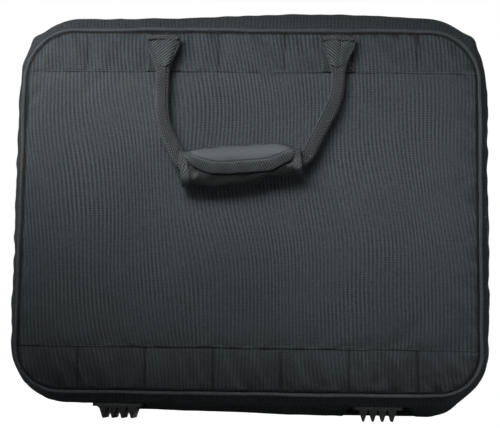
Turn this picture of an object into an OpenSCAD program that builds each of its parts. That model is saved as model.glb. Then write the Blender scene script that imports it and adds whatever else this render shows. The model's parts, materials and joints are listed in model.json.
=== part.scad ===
// Soft-sided portfolio case: two padded halves that hinge on a bottom gusset with
// moulded feet, closed by a two-slider zip, carried by two rolled-webbing handles
// and a hook-and-loop grip wrap.
// +Z up, front towards -Y. The origin is on the ground, under the middle of the base.

/* [Case] */
// Width between the two side seams
case_w = 530; // [460:10:620]
// Height between the bottom seam and the top seam
case_h = 420; // [340:10:500]
// Depth between the front seam and the back seam
case_d = 92; // [88:2:108]
// Radius of the seam line at the top corners
top_r = 60; // [50:5:75]
// Radius of the seam line at the bottom corners
bottom_r = 50; // [45:5:65]
// How far the side and top gusset stands out past the seams
gusset_bulge = 16; // [14:1:18]

/* [Layers] */
// Thickness of the outer panel fabric
fabric_t = 1.2; // [0.8:0.1:1.6]
// Thickness of the padded gusset
gusset_t = 2.5; // [1.5:0.5:2.5]
// Thickness of the foam behind each panel
foam_t = 5; // [3:0.5:5]
// Thickness of the stiffener boards
board_t = 2; // [1:0.5:2]
// Thickness of the lining
lining_t = 0.8; // [0.4:0.1:1]
// Diameter of the covered piping round each panel
piping_d = 5.5; // [4.5:0.5:6]
// Diameter of the cord inside the piping
cord_d = 3.2; // [2:0.2:3.6]

/* [Zip] */
// Distance of the zip line behind the middle of the gusset
zip_y = 22; // [16:1:22]
// Width of each zip tape
tape_w = 15; // [13:1:16]
// Width of one row of zip coil
coil_w = 2.6; // [2:0.2:2.6]
// Length of the pull tabs
pull_l = 30; // [24:1:36]

/* [Handles] */
// Distance between the two anchors of a handle
anchor_span = 202; // [190:2:220]
// Drop of the handle from its anchors to the middle of its grip
handle_drop = 148; // [140:1:170]
// Width of the webbing where it is sewn down
strap_w = 38; // [32:1:40]
// Diameter of the rolled part of the webbing
roll_d = 14; // [12:1:14]
// Angle at which the front handle hangs away from the panel
front_hang = 2.6; // [2:0.1:5]
// Angle at which the back handle hangs away from the panel
back_hang = 6.7; // [2:0.05:9]

/* [Grip] */
// Length of the grip wrap
grip_l = 138; // [110:2:140]
// Thickness of the wrap round the rolled webbing
grip_d = 26; // [24:1:28]
// Height of the flat front of the wrap, between its rounded top and bottom
grip_flat = 14; // [14:1:20]

/* [Base] */
// Distance of each foot from the middle of the case
foot_x = 150; // [110:5:160]
// Width of a foot along the case
foot_w = 58; // [54:1:64]
// Depth of a foot across the gusset
foot_d = 56; // [48:1:56]
// Height of the teeth under a foot
tooth_h = 13.5; // [10:0.5:15]
// Distance between two teeth
tooth_pitch = 11; // [10:0.5:12]

/* [Hidden] */
$fn = 64;

nylon = [0.2, 0.22, 0.23];
trim = [0.1, 0.11, 0.12];
inside = [0.3, 0.31, 0.32];
metal = [0.35, 0.35, 0.36];

hw = case_w / 2;
base_drop = 13;           // from the bottom seam down to the underside of the base
base_t = 2;
flange_t = 3.5;
foot_h = flange_t + tooth_h;
seam_z = foot_h + base_drop;
top_z = seam_z + case_h;
seam_y = case_d / 2;
gusset_half = seam_y - 4; // the gusset's edge, just clear of the piping
gusset_r = (pow(gusset_half, 2) + pow(gusset_bulge, 2)) / (2 * gusset_bulge);
panel_y = seam_y + fabric_t + 2; // outer face of the front and back panels
seam_inset = 3.2;         // panel edge inside the piping's centre line
zip_foot = 45;            // how far round the bottom corners the zip reaches, in degrees
zip_deg = asin(zip_y / gusset_r);
zip_opening = 8;          // half the width of tape that shows between the gusset bands
tape_t = 0.8;
coil_h = 2.6;
coil_gap = 0.6;           // from the zip's middle to each row of coil
zip_r = gusset_r - gusset_t - tape_t / 2; // middle of the tape, from the gusset's centre of curvature
binding_w = 5;            // width of the binding over the raw seam
band_h = 48;              // height of the inner loop bands
tack_pitch = 77;          // distance between their vertical tacks
hinge_y = panel_y + 11.8; // swing axis of a handle, in front of its panel
hinge_z = top_z - 14;
strap_t = 7;              // folded strap at its anchor
cone_l = 36;              // from the fold down to where the strap is fully rolled
patch_t = 2.4;

function arc_deg(y) = asin(y / gusset_r);
function span_deg(d) = d / gusset_r * 180 / PI;
function heading(a, b) = atan2(b[1] - a[1], b[0] - a[0]);
function step(p, deg, d) = [p[0] + d * cos(deg), p[1] + d * sin(deg)];

// ---- Sweeps along the seam line ----
// A section's x is the distance outward from the seam line and its y is the depth.

module run(x, z, turn, len)
  translate([x, 0, z]) rotate([0, -turn, 0]) linear_extrude(len) children();

module corner(x, z, r, from, sweep)
  translate([x, 0, z]) rotate([90, 0, 0]) rotate([0, 0, from])
    rotate_extrude(angle = sweep) translate([r, 0]) mirror([0, 1]) children();

// Both sides and the top, then the stated angle round each bottom corner
module rim_sweep(lower = zip_foot) {
  for (s = [0, 1]) mirror([s, 0, 0]) {
    corner(top_r - hw, top_z - top_r, top_r, 90, 90) children();
    run(-hw, top_z - top_r, 180, case_h - top_r - bottom_r) children();
    corner(bottom_r - hw, seam_z + bottom_r, bottom_r, 180, lower) children();
  }
  run(hw - top_r, top_z, 90, case_w - 2 * top_r) children();
}

// The bottom, and the stated angle round each bottom corner
module base_sweep(lower) {
  run(bottom_r - hw, seam_z, 270, case_w - 2 * bottom_r) children();
  if (lower > 0) for (s = [0, 1]) mirror([s, 0, 0])
    corner(hw - bottom_r, seam_z + bottom_r, bottom_r, 270, lower) children();
}

module loop_sweep() {
  rim_sweep(90) children();
  base_sweep(0) children();
}

// Part of a ring about the gusset's centre of curvature
module band(r0, r1, from, to) {
  reach = 1.4 * r1;
  translate([gusset_bulge - gusset_r, 0]) intersection() {
    difference() {
      circle(r1);
      circle(r0);
    }
    polygon([[0, 0], reach * [cos(from), sin(from)], reach * [cos((from + to) / 2), sin((from + to) / 2)],
             reach * [cos(to), sin(to)]]);
  }
}

// ---- Panels ----

// The seam line's outline, inset all round
module outline(inset) {
  tx = hw - top_r;
  bx = hw - bottom_r;
  tz = top_z - top_r;
  bz = seam_z + bottom_r;
  polygon([[hw - inset, bz], [hw - inset, tz], [tx, top_z - inset], [-tx, top_z - inset],
           [inset - hw, tz], [inset - hw, bz], [-bx, seam_z + inset], [bx, seam_z + inset]]);
  for (s = [-1, 1]) {
    translate([s * tx, tz]) circle(top_r - inset);
    translate([s * bx, bz]) circle(bottom_r - inset);
  }
}

// One layer of the front wall, whose outer face is out mm from the case's middle plane
module layer(inset, out, t)
  translate([0, t - out, 0]) rotate([90, 0, 0]) linear_extrude(t) outline(inset);

module panel() color(nylon) layer(seam_inset, panel_y, fabric_t);
module foam() color("dimgray") layer(seam_inset + 2, panel_y - fabric_t, foam_t);
module board() color("tan") layer(seam_inset + 3, panel_y - fabric_t - foam_t, board_t);
lining_y = panel_y - fabric_t - foam_t - board_t;
module lining() color(inside) layer(seam_inset, lining_y, lining_t);

module piping() color(trim) loop_sweep() translate([0, -seam_y]) difference() {
  circle(piping_d / 2);
  circle(cord_d / 2 + 0.05);
}
module piping_cord() color("gray") loop_sweep() translate([0, -seam_y]) circle(cord_d / 2);

// Bound edge over the raw seam, inside the case
module seam_binding() {
  binding_t = 1.4;
  color(trim) rim_sweep(zip_foot - 2)
    translate([-seam_inset - binding_w, lining_t - lining_y]) square([binding_w, binding_t]);
}

// Inner band sewn down along one edge and at six tacks, so that it forms loops
module loop_band(z) {
  tacks = 6;
  band_t = 1;
  groove = 0.4;
  translate([0, lining_t - lining_y, 0]) difference() {
    translate([0, band_t, 0]) rotate([90, 0, 0]) linear_extrude(band_t) intersection() {
      outline(seam_inset + binding_w + 1);
      translate([-hw, z]) square([case_w, band_h]);
    }
    for (i = [0 : tacks - 1])
      translate([(i - (tacks - 1) / 2) * tack_pitch - 0.6, band_t - groove, z + 4])
        cube([1.2, groove + 1, band_h - 8]);
  }
}

// ---- Gusset and zip ----

module gusset(from, to) color(nylon) rim_sweep() band(gusset_r - gusset_t, gusset_r, from, to);

// side is -1 for the front tape and coil, 1 for the back ones
module zip_tape(side) {
  near = zip_deg + side * span_deg(coil_gap + coil_w);
  far = zip_deg + side * span_deg(tape_w);
  color(trim) rim_sweep(zip_foot - 1) band(zip_r - tape_t / 2, zip_r + tape_t / 2, min(near, far), max(near, far));
}

module coil_band(side, grow) {
  near = zip_deg + side * span_deg(coil_gap);
  far = zip_deg + side * span_deg(coil_gap + coil_w);
  band(zip_r - coil_h / 2 - grow, zip_r + coil_h / 2 + grow, min(near, far), max(near, far));
}
module zip_coil(side) color("black") rim_sweep(zip_foot - 5) coil_band(side, 0);

// Moulded stops that close each row of coil at its two ends
module zip_stops(side) color(metal) {
  z = seam_z + bottom_r;
  corner(bottom_r - hw, z, bottom_r, 180 + zip_foot - 4.8, 3.6) coil_band(side, 0.3);
  corner(hw - bottom_r, z, bottom_r, 360 - zip_foot + 1.2, 3.6) coil_band(side, 0.3);
}

// Puts its children on the top run of the zip: z is the distance from the centre of curvature
module on_zip(x)
  translate([x, 0, top_z + gusset_bulge - gusset_r]) rotate([-zip_deg, 0, 0]) children();

slider_l = 13;
slider_w = 11;
plate_t = 1.2;
slider_x = 9;             // rest place of each slider, nose to nose
slider_top = zip_r + coil_h / 2 + 0.3 + plate_t;
slider_low = zip_r - coil_h / 2 - 0.3 - plate_t;
pull_bar_r = 0.8;
pull_axis = slider_top + 0.3 + pull_bar_r;

// Slider with its lips round the back tape. Its front side is open, so that the front
// half can swing away wherever the slider stands.
module slider(x) color(metal) on_zip(x) {
  lip_w = 1.9;
  web_t = 0.8;
  stub_t = 0.4;
  translate([-slider_l / 2, -slider_w / 2, slider_top - plate_t]) cube([slider_l, slider_w, plate_t]);
  translate([-slider_l / 2, -stub_t, slider_low]) cube([slider_l, slider_w / 2 + stub_t, plate_t]);
  translate([-slider_l / 2, -web_t / 2, slider_low]) cube([slider_l, web_t, slider_top - slider_low]);
  for (z = [[zip_r + tape_t / 2 + 0.3, slider_top], [slider_low, zip_r - tape_t / 2 - 0.3]])
    translate([-slider_l / 2, slider_w / 2 - lip_w, z[0]]) cube([slider_l, lip_w, z[1] - z[0]]);
  bridge();
}

// Arch over the slider that holds the pull's bar
module bridge() {
  w = 3;
  t = 1.2;
  l = 8;
  h = 2 * pull_bar_r + 0.6;
  translate([-l / 2, -w / 2, slider_top]) difference() {
    cube([l, w, h + t]);
    translate([t, -1, 0]) cube([l - 2 * t, w + 2, h]);
  }
}

// dir is -1 for a tab that lies towards -X at rest, 1 for +X
module pull(x, dir) color(metal) on_zip(x) translate([0, 0, pull_axis]) {
  tab_w = 9;
  tab_t = 1.6;
  arm_in = 2.2;
  eye_r = 2.2;
  rotate([90, 0, 0]) cylinder(r = pull_bar_r, h = tab_w, center = true);
  for (s = [-1, 1])
    translate([dir > 0 ? 0 : -8, s > 0 ? arm_in : -tab_w / 2, -tab_t / 2]) cube([8, tab_w / 2 - arm_in, tab_t]);
  translate([0, 0, -tab_t / 2]) difference() {
    union() {
      translate([dir > 0 ? 6.5 : -pull_l + tab_w / 2, -tab_w / 2, 0]) cube([pull_l - tab_w / 2 - 6.5, tab_w, tab_t]);
      translate([dir * (pull_l - tab_w / 2), 0, 0]) cylinder(d = tab_w, h = tab_t);
    }
    translate([dir * (pull_l - tab_w / 2), 0, -1]) cylinder(r = eye_r, h = tab_t + 2);
  }
}

// ---- Handles ----
// A handle is drawn in its own plane: x across, z up, and its fold line at z 0.

half_span = anchor_span / 2;
grip_x = -9;              // middle of the grip wrap
grip_tilt = 4.4;
grip_mid = [grip_x, -handle_drop];
left_end = [-half_span, 0];
right_end = [half_span, 0];
points = [left_end, [-half_span, -0.65 * handle_drop], step(grip_mid, grip_tilt, -65.5),
          step(grip_mid, grip_tilt, 72), [half_span, -0.44 * handle_drop], right_end];
bends = [0, 80, 28, 28, 80, 0]; // bend radius at each of these points
last = len(points) - 1;

function turn(i) = heading(points[i], points[i + 1]) - heading(points[i - 1], points[i]);
function setback(i) = i == 0 || i == last ? 0 : bends[i] * tan(turn(i) / 2);

module bar(i, skip = 0) {
  deg = heading(points[i], points[i + 1]);
  from = setback(i) + (i == 0 ? skip : 0);
  to = norm(points[i + 1] - points[i]) - setback(i + 1) - (i + 1 == last ? skip : 0);
  start = step(points[i], deg, from);
  translate([start[0], 0, start[1]]) rotate([0, 90 - deg, 0]) linear_extrude(to - from) children();
}

// A bend is slightly thicker than the straight roll and laps over it at both ends
module bend(i) {
  lap = 1.5;
  deg = heading(points[i - 1], points[i]);
  start = step(points[i], deg, -setback(i));
  centre = step(start, deg + 90, bends[i]);
  translate([centre[0], 0, centre[1]]) rotate([90, 0, 0]) rotate([0, 0, deg - 90 - lap])
    rotate_extrude(angle = turn(i) + 2 * lap) translate([bends[i], 0]) scale(1.02) children();
}

// Sweeps a section down one side of the handle, along its grip and up the other side
module handle_path(skip) {
  for (i = [0 : last - 1]) bar(i, skip) children();
  for (i = [1 : last - 1]) bend(i) children();
}

// Flat end of the webbing, folded over at the anchor and narrowing to the roll
module strap_end(p) {
  tip = p - [0, cone_l];
  rotate([90, 0, 0]) linear_extrude(strap_t, center = true)
    polygon([p + [strap_w / 2, 0], p - [strap_w / 2, 0], tip - [roll_d / 2 - 0.5, 0], tip + [roll_d / 2 - 0.5, 0]]);
  translate([p[0] - strap_w / 2, 0, p[1]]) rotate([0, 90, 0]) cylinder(d = strap_t, h = strap_w);
}

module handle_webbing() color(trim) {
  handle_path(cone_l - 4) difference() {
    circle(d = roll_d);
    circle(d = roll_d - 4);
  }
  strap_end(left_end);
  strap_end(right_end);
}

module handle_core() color("gray") handle_path(cone_l + 0.5) circle(d = roll_d - 4.4);

// Places the front handle's plane on its swing axis
module hang_front() translate([0, -hinge_y, hinge_z]) rotate([-front_hang, 0, 0]) children();
module hang_back() mirror([0, 1, 0]) translate([0, -hinge_y, hinge_z]) rotate([-back_hang, 0, 0]) children();

// Sewn-down end of the webbing on the front panel, with a lip behind the fold
module patches() color(trim) for (x = [left_end[0], right_end[0]])
  translate([x - strap_w / 2, -panel_y, hinge_z]) {
    lip_h = 8;
    lip_t = hinge_y - panel_y - strap_t / 2 - 0.5;
    translate([0, -patch_t, -36]) cube([strap_w, patch_t, 36]);
    translate([0, -lip_t, -lip_h]) cube([strap_w, lip_t, lip_h]);
  }

// ---- Grip wrap ----
// Its frame is on the handle's lower bar: x along the bar, section y across, section z up.

grip_r = grip_d / 2;
rise = 8;                 // centre of the wrap's rounded top above the webbing
touch = 0.7;              // thickness of one hook or loop tape
flap_in = grip_r + 2 * touch;
flap_out = flap_in + 2.4;
bind_out = flap_out + 0.8;
bind_w = 3.5;
flap_low = rise - 13;     // lower edge of the flap's fabric
tape_h = 14;              // height of the hook and loop tapes
flap_hinge_deg = 54;
flap_hinge_r = (flap_in + flap_out) / 2;

module on_grip() translate([grip_mid[0], 0, grip_mid[1]]) rotate([0, -grip_tilt, 0]) children();
module along_grip(from, to)
  translate([from, 0, 0]) rotate([90, 0, 90]) linear_extrude(to - from) children();

module stadium(r) {
  translate([0, rise]) circle(r);
  translate([0, rise - grip_flat]) circle(r);
  translate([-r, rise - grip_flat]) square([2 * r, grip_flat]);
}

// The part of the wrap that the flap covers: over the top and down the front
module flap_side(low) {
  far = 60;
  polygon([[0, rise], [far * cos(flap_hinge_deg), rise + far * sin(flap_hinge_deg)], [0, far], [-far, far],
           [-far, low], [0, low]]);
}

module flap_section(r0, r1, low) intersection() {
  difference() {
    stadium(r1);
    stadium(r0);
  }
  flap_side(low);
}

module webbing_hole() handle_path(cone_l) circle(d = roll_d + 0.1);
half_grip = grip_l / 2;

module grip_sleeve() color(nylon) difference() {
  on_grip() along_grip(bind_w - half_grip, half_grip - bind_w) stadium(grip_r);
  webbing_hole();
}
module grip_sleeve_binding() color(trim) difference() {
  on_grip() for (x = [-half_grip, half_grip - bind_w]) along_grip(x, x + bind_w) stadium(grip_r + 0.6);
  webbing_hole();
}
module grip_tape(near) {
  tape_half = half_grip - 14;
  color("black") on_grip() along_grip(-tape_half, tape_half)
    translate([-near - touch, rise - tape_h]) square([touch - 0.05, tape_h]);
}
module grip_flap() color(nylon) on_grip() along_grip(bind_w - half_grip, half_grip - bind_w)
  flap_section(flap_in, flap_out, flap_low);
// The binding's ends stop in front of the webbing, which bends up there
module grip_flap_binding() color(trim) on_grip() {
  front = roll_d / 2 + 2;
  for (x = [-half_grip, half_grip - bind_w]) along_grip(x, x + bind_w) intersection() {
    flap_section(flap_in, bind_out, flap_low - bind_w);
    translate([-front - grip_d, -grip_d]) square([grip_d, 2 * grip_d]);
  }
  along_grip(-half_grip, half_grip) intersection() {
    flap_section(flap_in, bind_out, flap_low - bind_w);
    translate([-30, flap_low - bind_w]) square([30, bind_w]);
  }
}

// ---- Base ----

base_flat = 2 * (gusset_half - base_drop); // flat width of the base between its rounded edges
board_w = base_flat - 2;
base_len = case_w - 2 * bottom_r;
screw_r = 1.5;
screw_dx = 1.5 * tooth_pitch;
screw_dy = 18;
board_z = foot_h + base_t;
base_lining_z = board_z + board_t + 0.5;
washer_t = 0.8;
pilot_depth = foot_h - 6;

module at_screws() for (s = [-1, 1], x = [-screw_dx, screw_dx], y = [-screw_dy, screw_dy])
  translate([s * foot_x + x, y, 0]) children();
module screw_holes(z, h) at_screws() translate([0, 0, z - 1]) cylinder(r = screw_r + 0.2, h = h + 2);

module base_section() {
  translate([base_drop - base_t, -base_flat / 2]) square([base_t, base_flat]);
  for (s = [-1, 1]) intersection() {
    translate([0, s * base_flat / 2]) difference() {
      circle(base_drop);
      circle(base_drop - base_t);
    }
    translate([0, s > 0 ? base_flat / 2 : -base_flat / 2 - base_drop]) square(base_drop);
  }
}

module base_gusset() color(nylon) difference() {
  base_sweep(zip_foot - 0.5) base_section();
  screw_holes(foot_h, base_t);
}
module base_plate(z, t, w) difference() {
  translate([-base_len / 2, -w / 2, z]) cube([base_len, w, t]);
  screw_holes(z, t);
}
module base_board() color("tan") base_plate(board_z, board_t + 0.5, board_w);
module base_lining() color(inside) base_plate(base_lining_z, lining_t, board_w);

// A ridge across the foot, pointed below and sloping at both ends
module tooth() intersection() {
  rotate([90, 0, 0]) linear_extrude(foot_d, center = true)
    polygon([[-tooth_pitch / 2 + 0.3, tooth_h], [tooth_pitch / 2 - 0.3, tooth_h], [0.9, 0], [-0.9, 0]]);
  rotate([90, 0, 90]) linear_extrude(foot_w, center = true)
    polygon([[-foot_d / 2 + 1.5, tooth_h], [foot_d / 2 - 1.5, tooth_h], [foot_d / 2 - 4, 0], [4 - foot_d / 2, 0]]);
}

module flange() {
  r = 5;
  translate([0, 0, tooth_h]) {
    translate([-foot_w / 2, r - foot_d / 2, 0]) cube([foot_w, foot_d - 2 * r, flange_t]);
    translate([r - foot_w / 2, -foot_d / 2, 0]) cube([foot_w - 2 * r, foot_d, flange_t]);
    for (x = [-1, 1], y = [-1, 1])
      translate([x * (foot_w / 2 - r), y * (foot_d / 2 - r), 0]) cylinder(r = r, h = flange_t);
  }
}

module foot(s) color("black") difference() {
  translate([s * foot_x, 0, 0]) {
    flange();
    for (i = [-1.5 : 1 : 1.5]) translate([i * tooth_pitch, 0, 0]) tooth();
  }
  at_screws() translate([0, 0, foot_h - pilot_depth]) cylinder(r = screw_r + 0.05, h = pilot_depth + 1);
}

module foot_screws() color(metal) at_screws() {
  head_z = base_lining_z + lining_t + washer_t;
  translate([0, 0, foot_h - pilot_depth + 0.5]) cylinder(r = screw_r, h = head_z - foot_h + pilot_depth - 0.5);
  translate([0, 0, head_z]) cylinder(r = 3.2, h = 1.8);
}
module foot_washers() color(metal) at_screws() translate([0, 0, base_lining_z + lining_t]) difference() {
  cylinder(r = 4.2, h = washer_t);
  translate([0, 0, -1]) cylinder(r = screw_r + 0.2, h = washer_t + 2);
}

module back() mirror([0, 1, 0]) children();

edge_deg = arc_deg(gusset_half);
front_edge = zip_deg - span_deg(zip_opening);
back_edge = zip_deg + span_deg(zip_opening);

base_gusset();
base_board();
base_lining();
foot(-1);  // foot_left
foot(1);  // foot_right
foot_screws();
foot_washers();

panel();  // front_panel
foam();  // front_foam
board();  // front_board
lining();  // front_lining
piping();  // front_piping
piping_cord();  // front_piping_cord
gusset(-edge_deg, front_edge);  // front_gusset
seam_binding();  // front_seam_binding
zip_tape(-1);  // front_zip_tape
zip_coil(-1);  // front_zip_coil
zip_stops(-1);  // front_zip_stops
patches();  // front_patches
color(trim) loop_band(top_z - band_h - 4);  // loop_band_top
color(trim) loop_band(seam_z + 5);  // loop_band_bottom

back() panel();  // back_panel
back() foam();  // back_foam
back() board();  // back_board
back() lining();  // back_lining
back() piping();  // back_piping
back() piping_cord();  // back_piping_cord
gusset(back_edge, edge_deg);  // back_gusset
back() seam_binding();  // back_seam_binding
zip_tape(1);  // back_zip_tape
zip_coil(1);  // back_zip_coil
zip_stops(1);  // back_zip_stops
back() patches();  // back_patches

hang_front() handle_webbing();  // front_handle
hang_front() handle_core();  // front_handle_core
hang_front() grip_sleeve();
hang_front() grip_sleeve_binding();
hang_front() grip_tape(grip_r);  // grip_hook_tape
hang_front() grip_flap();
hang_front() grip_flap_binding();
hang_front() grip_tape(grip_r + touch);  // grip_loop_tape

hang_back() handle_webbing();  // back_handle
hang_back() handle_core();  // back_handle_core

slider(-slider_x);  // slider_left
slider(slider_x);  // slider_right
pull(-slider_x, -1);  // pull_left
pull(slider_x, 1);  // pull_right
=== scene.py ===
"""Looks of the portfolio case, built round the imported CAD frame.

Lengths are in metres. The front is towards -Y and up is +Z. Each sewn piece is a sheet or a
tube over distances along and across its cloth, which are also its UV map, so that weaves and
stitches keep their real scale.
"""

import json
import math

import bmesh
import bpy
import numpy as np
from mathutils import Matrix, Vector


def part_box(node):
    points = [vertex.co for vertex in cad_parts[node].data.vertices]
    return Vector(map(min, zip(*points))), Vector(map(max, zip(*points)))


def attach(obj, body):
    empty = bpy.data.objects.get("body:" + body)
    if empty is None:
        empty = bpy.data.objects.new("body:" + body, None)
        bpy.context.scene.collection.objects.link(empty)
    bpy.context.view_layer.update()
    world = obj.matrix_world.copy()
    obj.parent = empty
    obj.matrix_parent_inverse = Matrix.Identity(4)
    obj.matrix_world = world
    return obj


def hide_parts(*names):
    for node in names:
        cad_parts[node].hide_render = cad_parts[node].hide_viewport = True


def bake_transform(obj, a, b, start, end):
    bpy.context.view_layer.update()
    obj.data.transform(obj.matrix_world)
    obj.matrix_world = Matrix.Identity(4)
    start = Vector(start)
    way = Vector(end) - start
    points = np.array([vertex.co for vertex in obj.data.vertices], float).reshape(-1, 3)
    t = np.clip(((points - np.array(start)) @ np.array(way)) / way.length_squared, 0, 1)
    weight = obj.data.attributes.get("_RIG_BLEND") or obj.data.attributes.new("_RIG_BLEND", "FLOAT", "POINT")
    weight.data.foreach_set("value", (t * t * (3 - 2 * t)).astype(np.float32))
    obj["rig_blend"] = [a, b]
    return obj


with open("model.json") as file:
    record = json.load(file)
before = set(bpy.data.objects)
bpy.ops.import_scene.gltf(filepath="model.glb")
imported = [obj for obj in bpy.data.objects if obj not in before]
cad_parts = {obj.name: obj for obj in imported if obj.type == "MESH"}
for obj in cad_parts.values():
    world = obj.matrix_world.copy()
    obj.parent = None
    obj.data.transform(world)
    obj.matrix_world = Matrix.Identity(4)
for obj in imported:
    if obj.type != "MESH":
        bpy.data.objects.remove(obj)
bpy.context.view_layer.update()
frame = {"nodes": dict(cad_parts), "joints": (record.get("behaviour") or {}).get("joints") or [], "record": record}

MM = 0.001
FRONT, BACK = -1, 1
HALF_BODY = {FRONT: "front_half", BACK: "back_half"}
HALF_NAME = {FRONT: "front", BACK: "back"}

# ---- Sizes from the frame ----
low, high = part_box("front_piping")
PIPING_R = (high.y - low.y) / 2
SEAM_Y = -(low.y + high.y) / 2
HALF_W = high.x - PIPING_R
LOW_Z = low.z + PIPING_R
TOP_Z = high.z - PIPING_R
MIDDLE_Z = (LOW_Z + TOP_Z) / 2
LOW_R = 50 * MM
TOP_R = 60 * MM
PANEL_Y = -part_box("front_panel")[0].y
LINING_Y = -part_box("front_lining")[1].y
GUSSET_Y = -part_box("front_gusset")[0].y
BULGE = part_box("front_gusset")[1].z - TOP_Z
GUSSET_R = (GUSSET_Y**2 + BULGE**2) / (2 * BULGE)
ZIP_Y = 22 * MM
ZIP_DEG = math.degrees(math.asin(ZIP_Y / GUSSET_R))
BASE_DROP = LOW_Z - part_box("base_gusset")[0].z
STITCH_Z = (81.5 * MM, 400 * MM)  # the two stitch rows across each panel
TACK_X = [i * 77 * MM for i in (-2.5, -1.5, -0.5, 0.5, 1.5, 2.5)]
FOOT_X = (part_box("foot_right")[0].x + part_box("foot_right")[1].x) / 2


# ---- Numbers ----


def smooth(t):
    """0 to 1 with soft ends."""
    t = np.clip(t, 0, 1)
    return t * t * (3 - 2 * t)


def dip(distance, width):
    """1 at distance 0, fading to nothing over about the width."""
    return np.exp(-((distance / width) ** 2))


def wobble(a, b, size, seed, waves=8):
    """A smooth random surface of about +-1, whose lumps are about `size` across."""
    rng = np.random.default_rng(seed)
    total = 0.0
    for _ in range(waves):
        turn = rng.uniform(0, math.tau)
        pitch = 2 * size * rng.uniform(0.7, 1.7)
        phase = rng.uniform(0, math.tau)
        total = total + np.sin((a * math.cos(turn) + b * math.sin(turn)) * math.tau / pitch + phase)
    return total / math.sqrt(waves / 2) / 1.5


def spaced(start, end, step, fine_at, fine_step, reach):
    """Positions from start to end, about a step apart, and closer near the places in fine_at."""
    x = np.linspace(start, end, 4000)
    gap = np.abs(x[:, None] - np.array(fine_at)[None]).min(1)
    density = 1 / step + (1 / fine_step - 1 / step) * dip(gap, reach)
    total = np.concatenate([[0], np.cumsum((density[1:] + density[:-1]) / 2 * np.diff(x))])
    return np.interp(np.linspace(0, total[-1], int(total[-1]) + 2), total, x)


def grid(a, b):
    """Two arrays that hold every pair of a value of a, down the rows, and a value of b."""
    return np.meshgrid(a, b, indexing="ij")


def around(count):
    """Angles evenly round a circle."""
    return np.linspace(0, math.tau, count, endpoint=False)


def creases(a, b, size, seed):
    """Sharp-crested folds, 0 in the hollows and 1 on the crests."""
    bent = a + 0.4 * size * wobble(a, b, 1.7 * size, seed + 100)
    return 1 - np.abs(np.clip(wobble(bent, b, size, seed), -1, 1))


# ---- Meshes ----


def unit(v):
    return v / np.maximum(np.linalg.norm(v, axis=-1, keepdims=True), 1e-12)


def sheet(name, points, uv, materials, wrap=False, flip=False):
    """Quads over a grid of points. With wrap, the last column joins the first, and uv has one more."""
    rows, cols = points.shape[:2]
    i, j = grid(np.arange(rows - 1), np.arange(cols if wrap else cols - 1))
    corners = [(i, j), (i + 1, j), (i + 1, j + 1), (i, j + 1)]
    if flip:
        corners.reverse()
    quads = np.stack([a * cols + b % cols for a, b in corners], -1).reshape(-1, 4)
    mesh = bpy.data.meshes.new(name)
    mesh.from_pydata(points.reshape(-1, 3).tolist(), [], quads.tolist())
    layer = mesh.uv_layers.new(name="UVMap")
    loops = np.stack([uv[a, b] for a, b in corners], 2).reshape(-1, 2)
    layer.data.foreach_set("uv", loops.astype(np.float32).ravel())
    return finish_mesh(name, mesh, materials)


def finish_mesh(name, mesh, materials):
    for m in materials:
        mesh.materials.append(m)
    mesh.polygons.foreach_set("use_smooth", [True] * len(mesh.polygons))
    mesh.update()
    piece = bpy.data.objects.new(name, mesh)
    bpy.context.scene.collection.objects.link(piece)
    return piece


def paint_shade(piece, amount):
    """Stores painted shade for the nylon's material, 0 to 1 at each point; values below 0 paint light."""
    mark = piece.data.attributes.new("seam_shade", "FLOAT", "POINT")
    mark.data.foreach_set("value", np.ravel(amount).astype(np.float32))


def grid_uv(u, v):
    return np.stack(grid(u, v), -1)


def get_points(mesh):
    co = np.zeros(len(mesh.vertices) * 3)
    mesh.vertices.foreach_get("co", co)
    return co.reshape(-1, 3)


def set_points(mesh, points):
    mesh.vertices.foreach_set("co", points.astype(np.float32).ravel())
    mesh.update()


def thicken(piece, thickness, inner_material=0, offset=-1.0):
    """Gives a sheet its thickness, inward from its face, with another material inside if wanted."""
    mod = piece.modifiers.new("thickness", "SOLIDIFY")
    mod.thickness = thickness
    mod.offset = offset
    mod.material_offset = inner_material
    mod.material_offset_rim = 0


def subdivide(piece):
    mod = piece.modifiers.new("smooth", "SUBSURF")
    mod.levels = 1
    mod.render_levels = 1


def register(piece, body=None, node=None):
    """Hides the CAD node that a piece stands for, if given, and attaches the piece to its body unless it bends
    between two.
    """
    if node:
        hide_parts(node)
    if body:
        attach(piece, body)


def bend_by(piece, shares):
    """Overrides a blended piece's own shares with one for each of its points."""
    mark = piece.data.attributes["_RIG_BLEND"]
    mark.data.foreach_set("value", np.ravel(shares).astype(np.float32))


def tube(name, centres, across, up, section, materials):
    """A closed-section tube. section[i] is the ring at centre i, as (across, up) offsets."""
    pts = centres[:, None] + section[..., :1] * across[:, None] + section[..., 1:] * up[:, None]
    girth = np.linalg.norm(np.diff(section, axis=1, append=section[:, :1]), axis=-1)
    v = np.concatenate([[0], np.cumsum(girth.mean(0))])
    along = np.linalg.norm(np.diff(centres, axis=0), axis=-1)
    u = np.concatenate([[0], np.cumsum(along)])
    piece = sheet(name, pts, grid_uv(u, v), materials, wrap=True)
    close_ends(piece.data, len(centres), section.shape[1])
    return piece


def close_ends(mesh, rings, sides):
    """Caps a tube made by sheet() with one face at each end."""
    bm = bmesh.new()
    bm.from_mesh(mesh)
    bm.verts.ensure_lookup_table()
    for first in (0, (rings - 1) * sides):
        bm.faces.new([bm.verts[first + k] for k in range(sides)])
    bmesh.ops.recalc_face_normals(bm, faces=bm.faces)
    bm.to_mesh(mesh)
    bm.free()


def weld(piece):
    """Merges doubled points and turns the faces outward."""
    bm = bmesh.new()
    bm.from_mesh(piece.data)
    bmesh.ops.remove_doubles(bm, verts=bm.verts, dist=1e-6)
    bmesh.ops.recalc_face_normals(bm, faces=bm.faces)
    bm.to_mesh(piece.data)
    bm.free()


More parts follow.
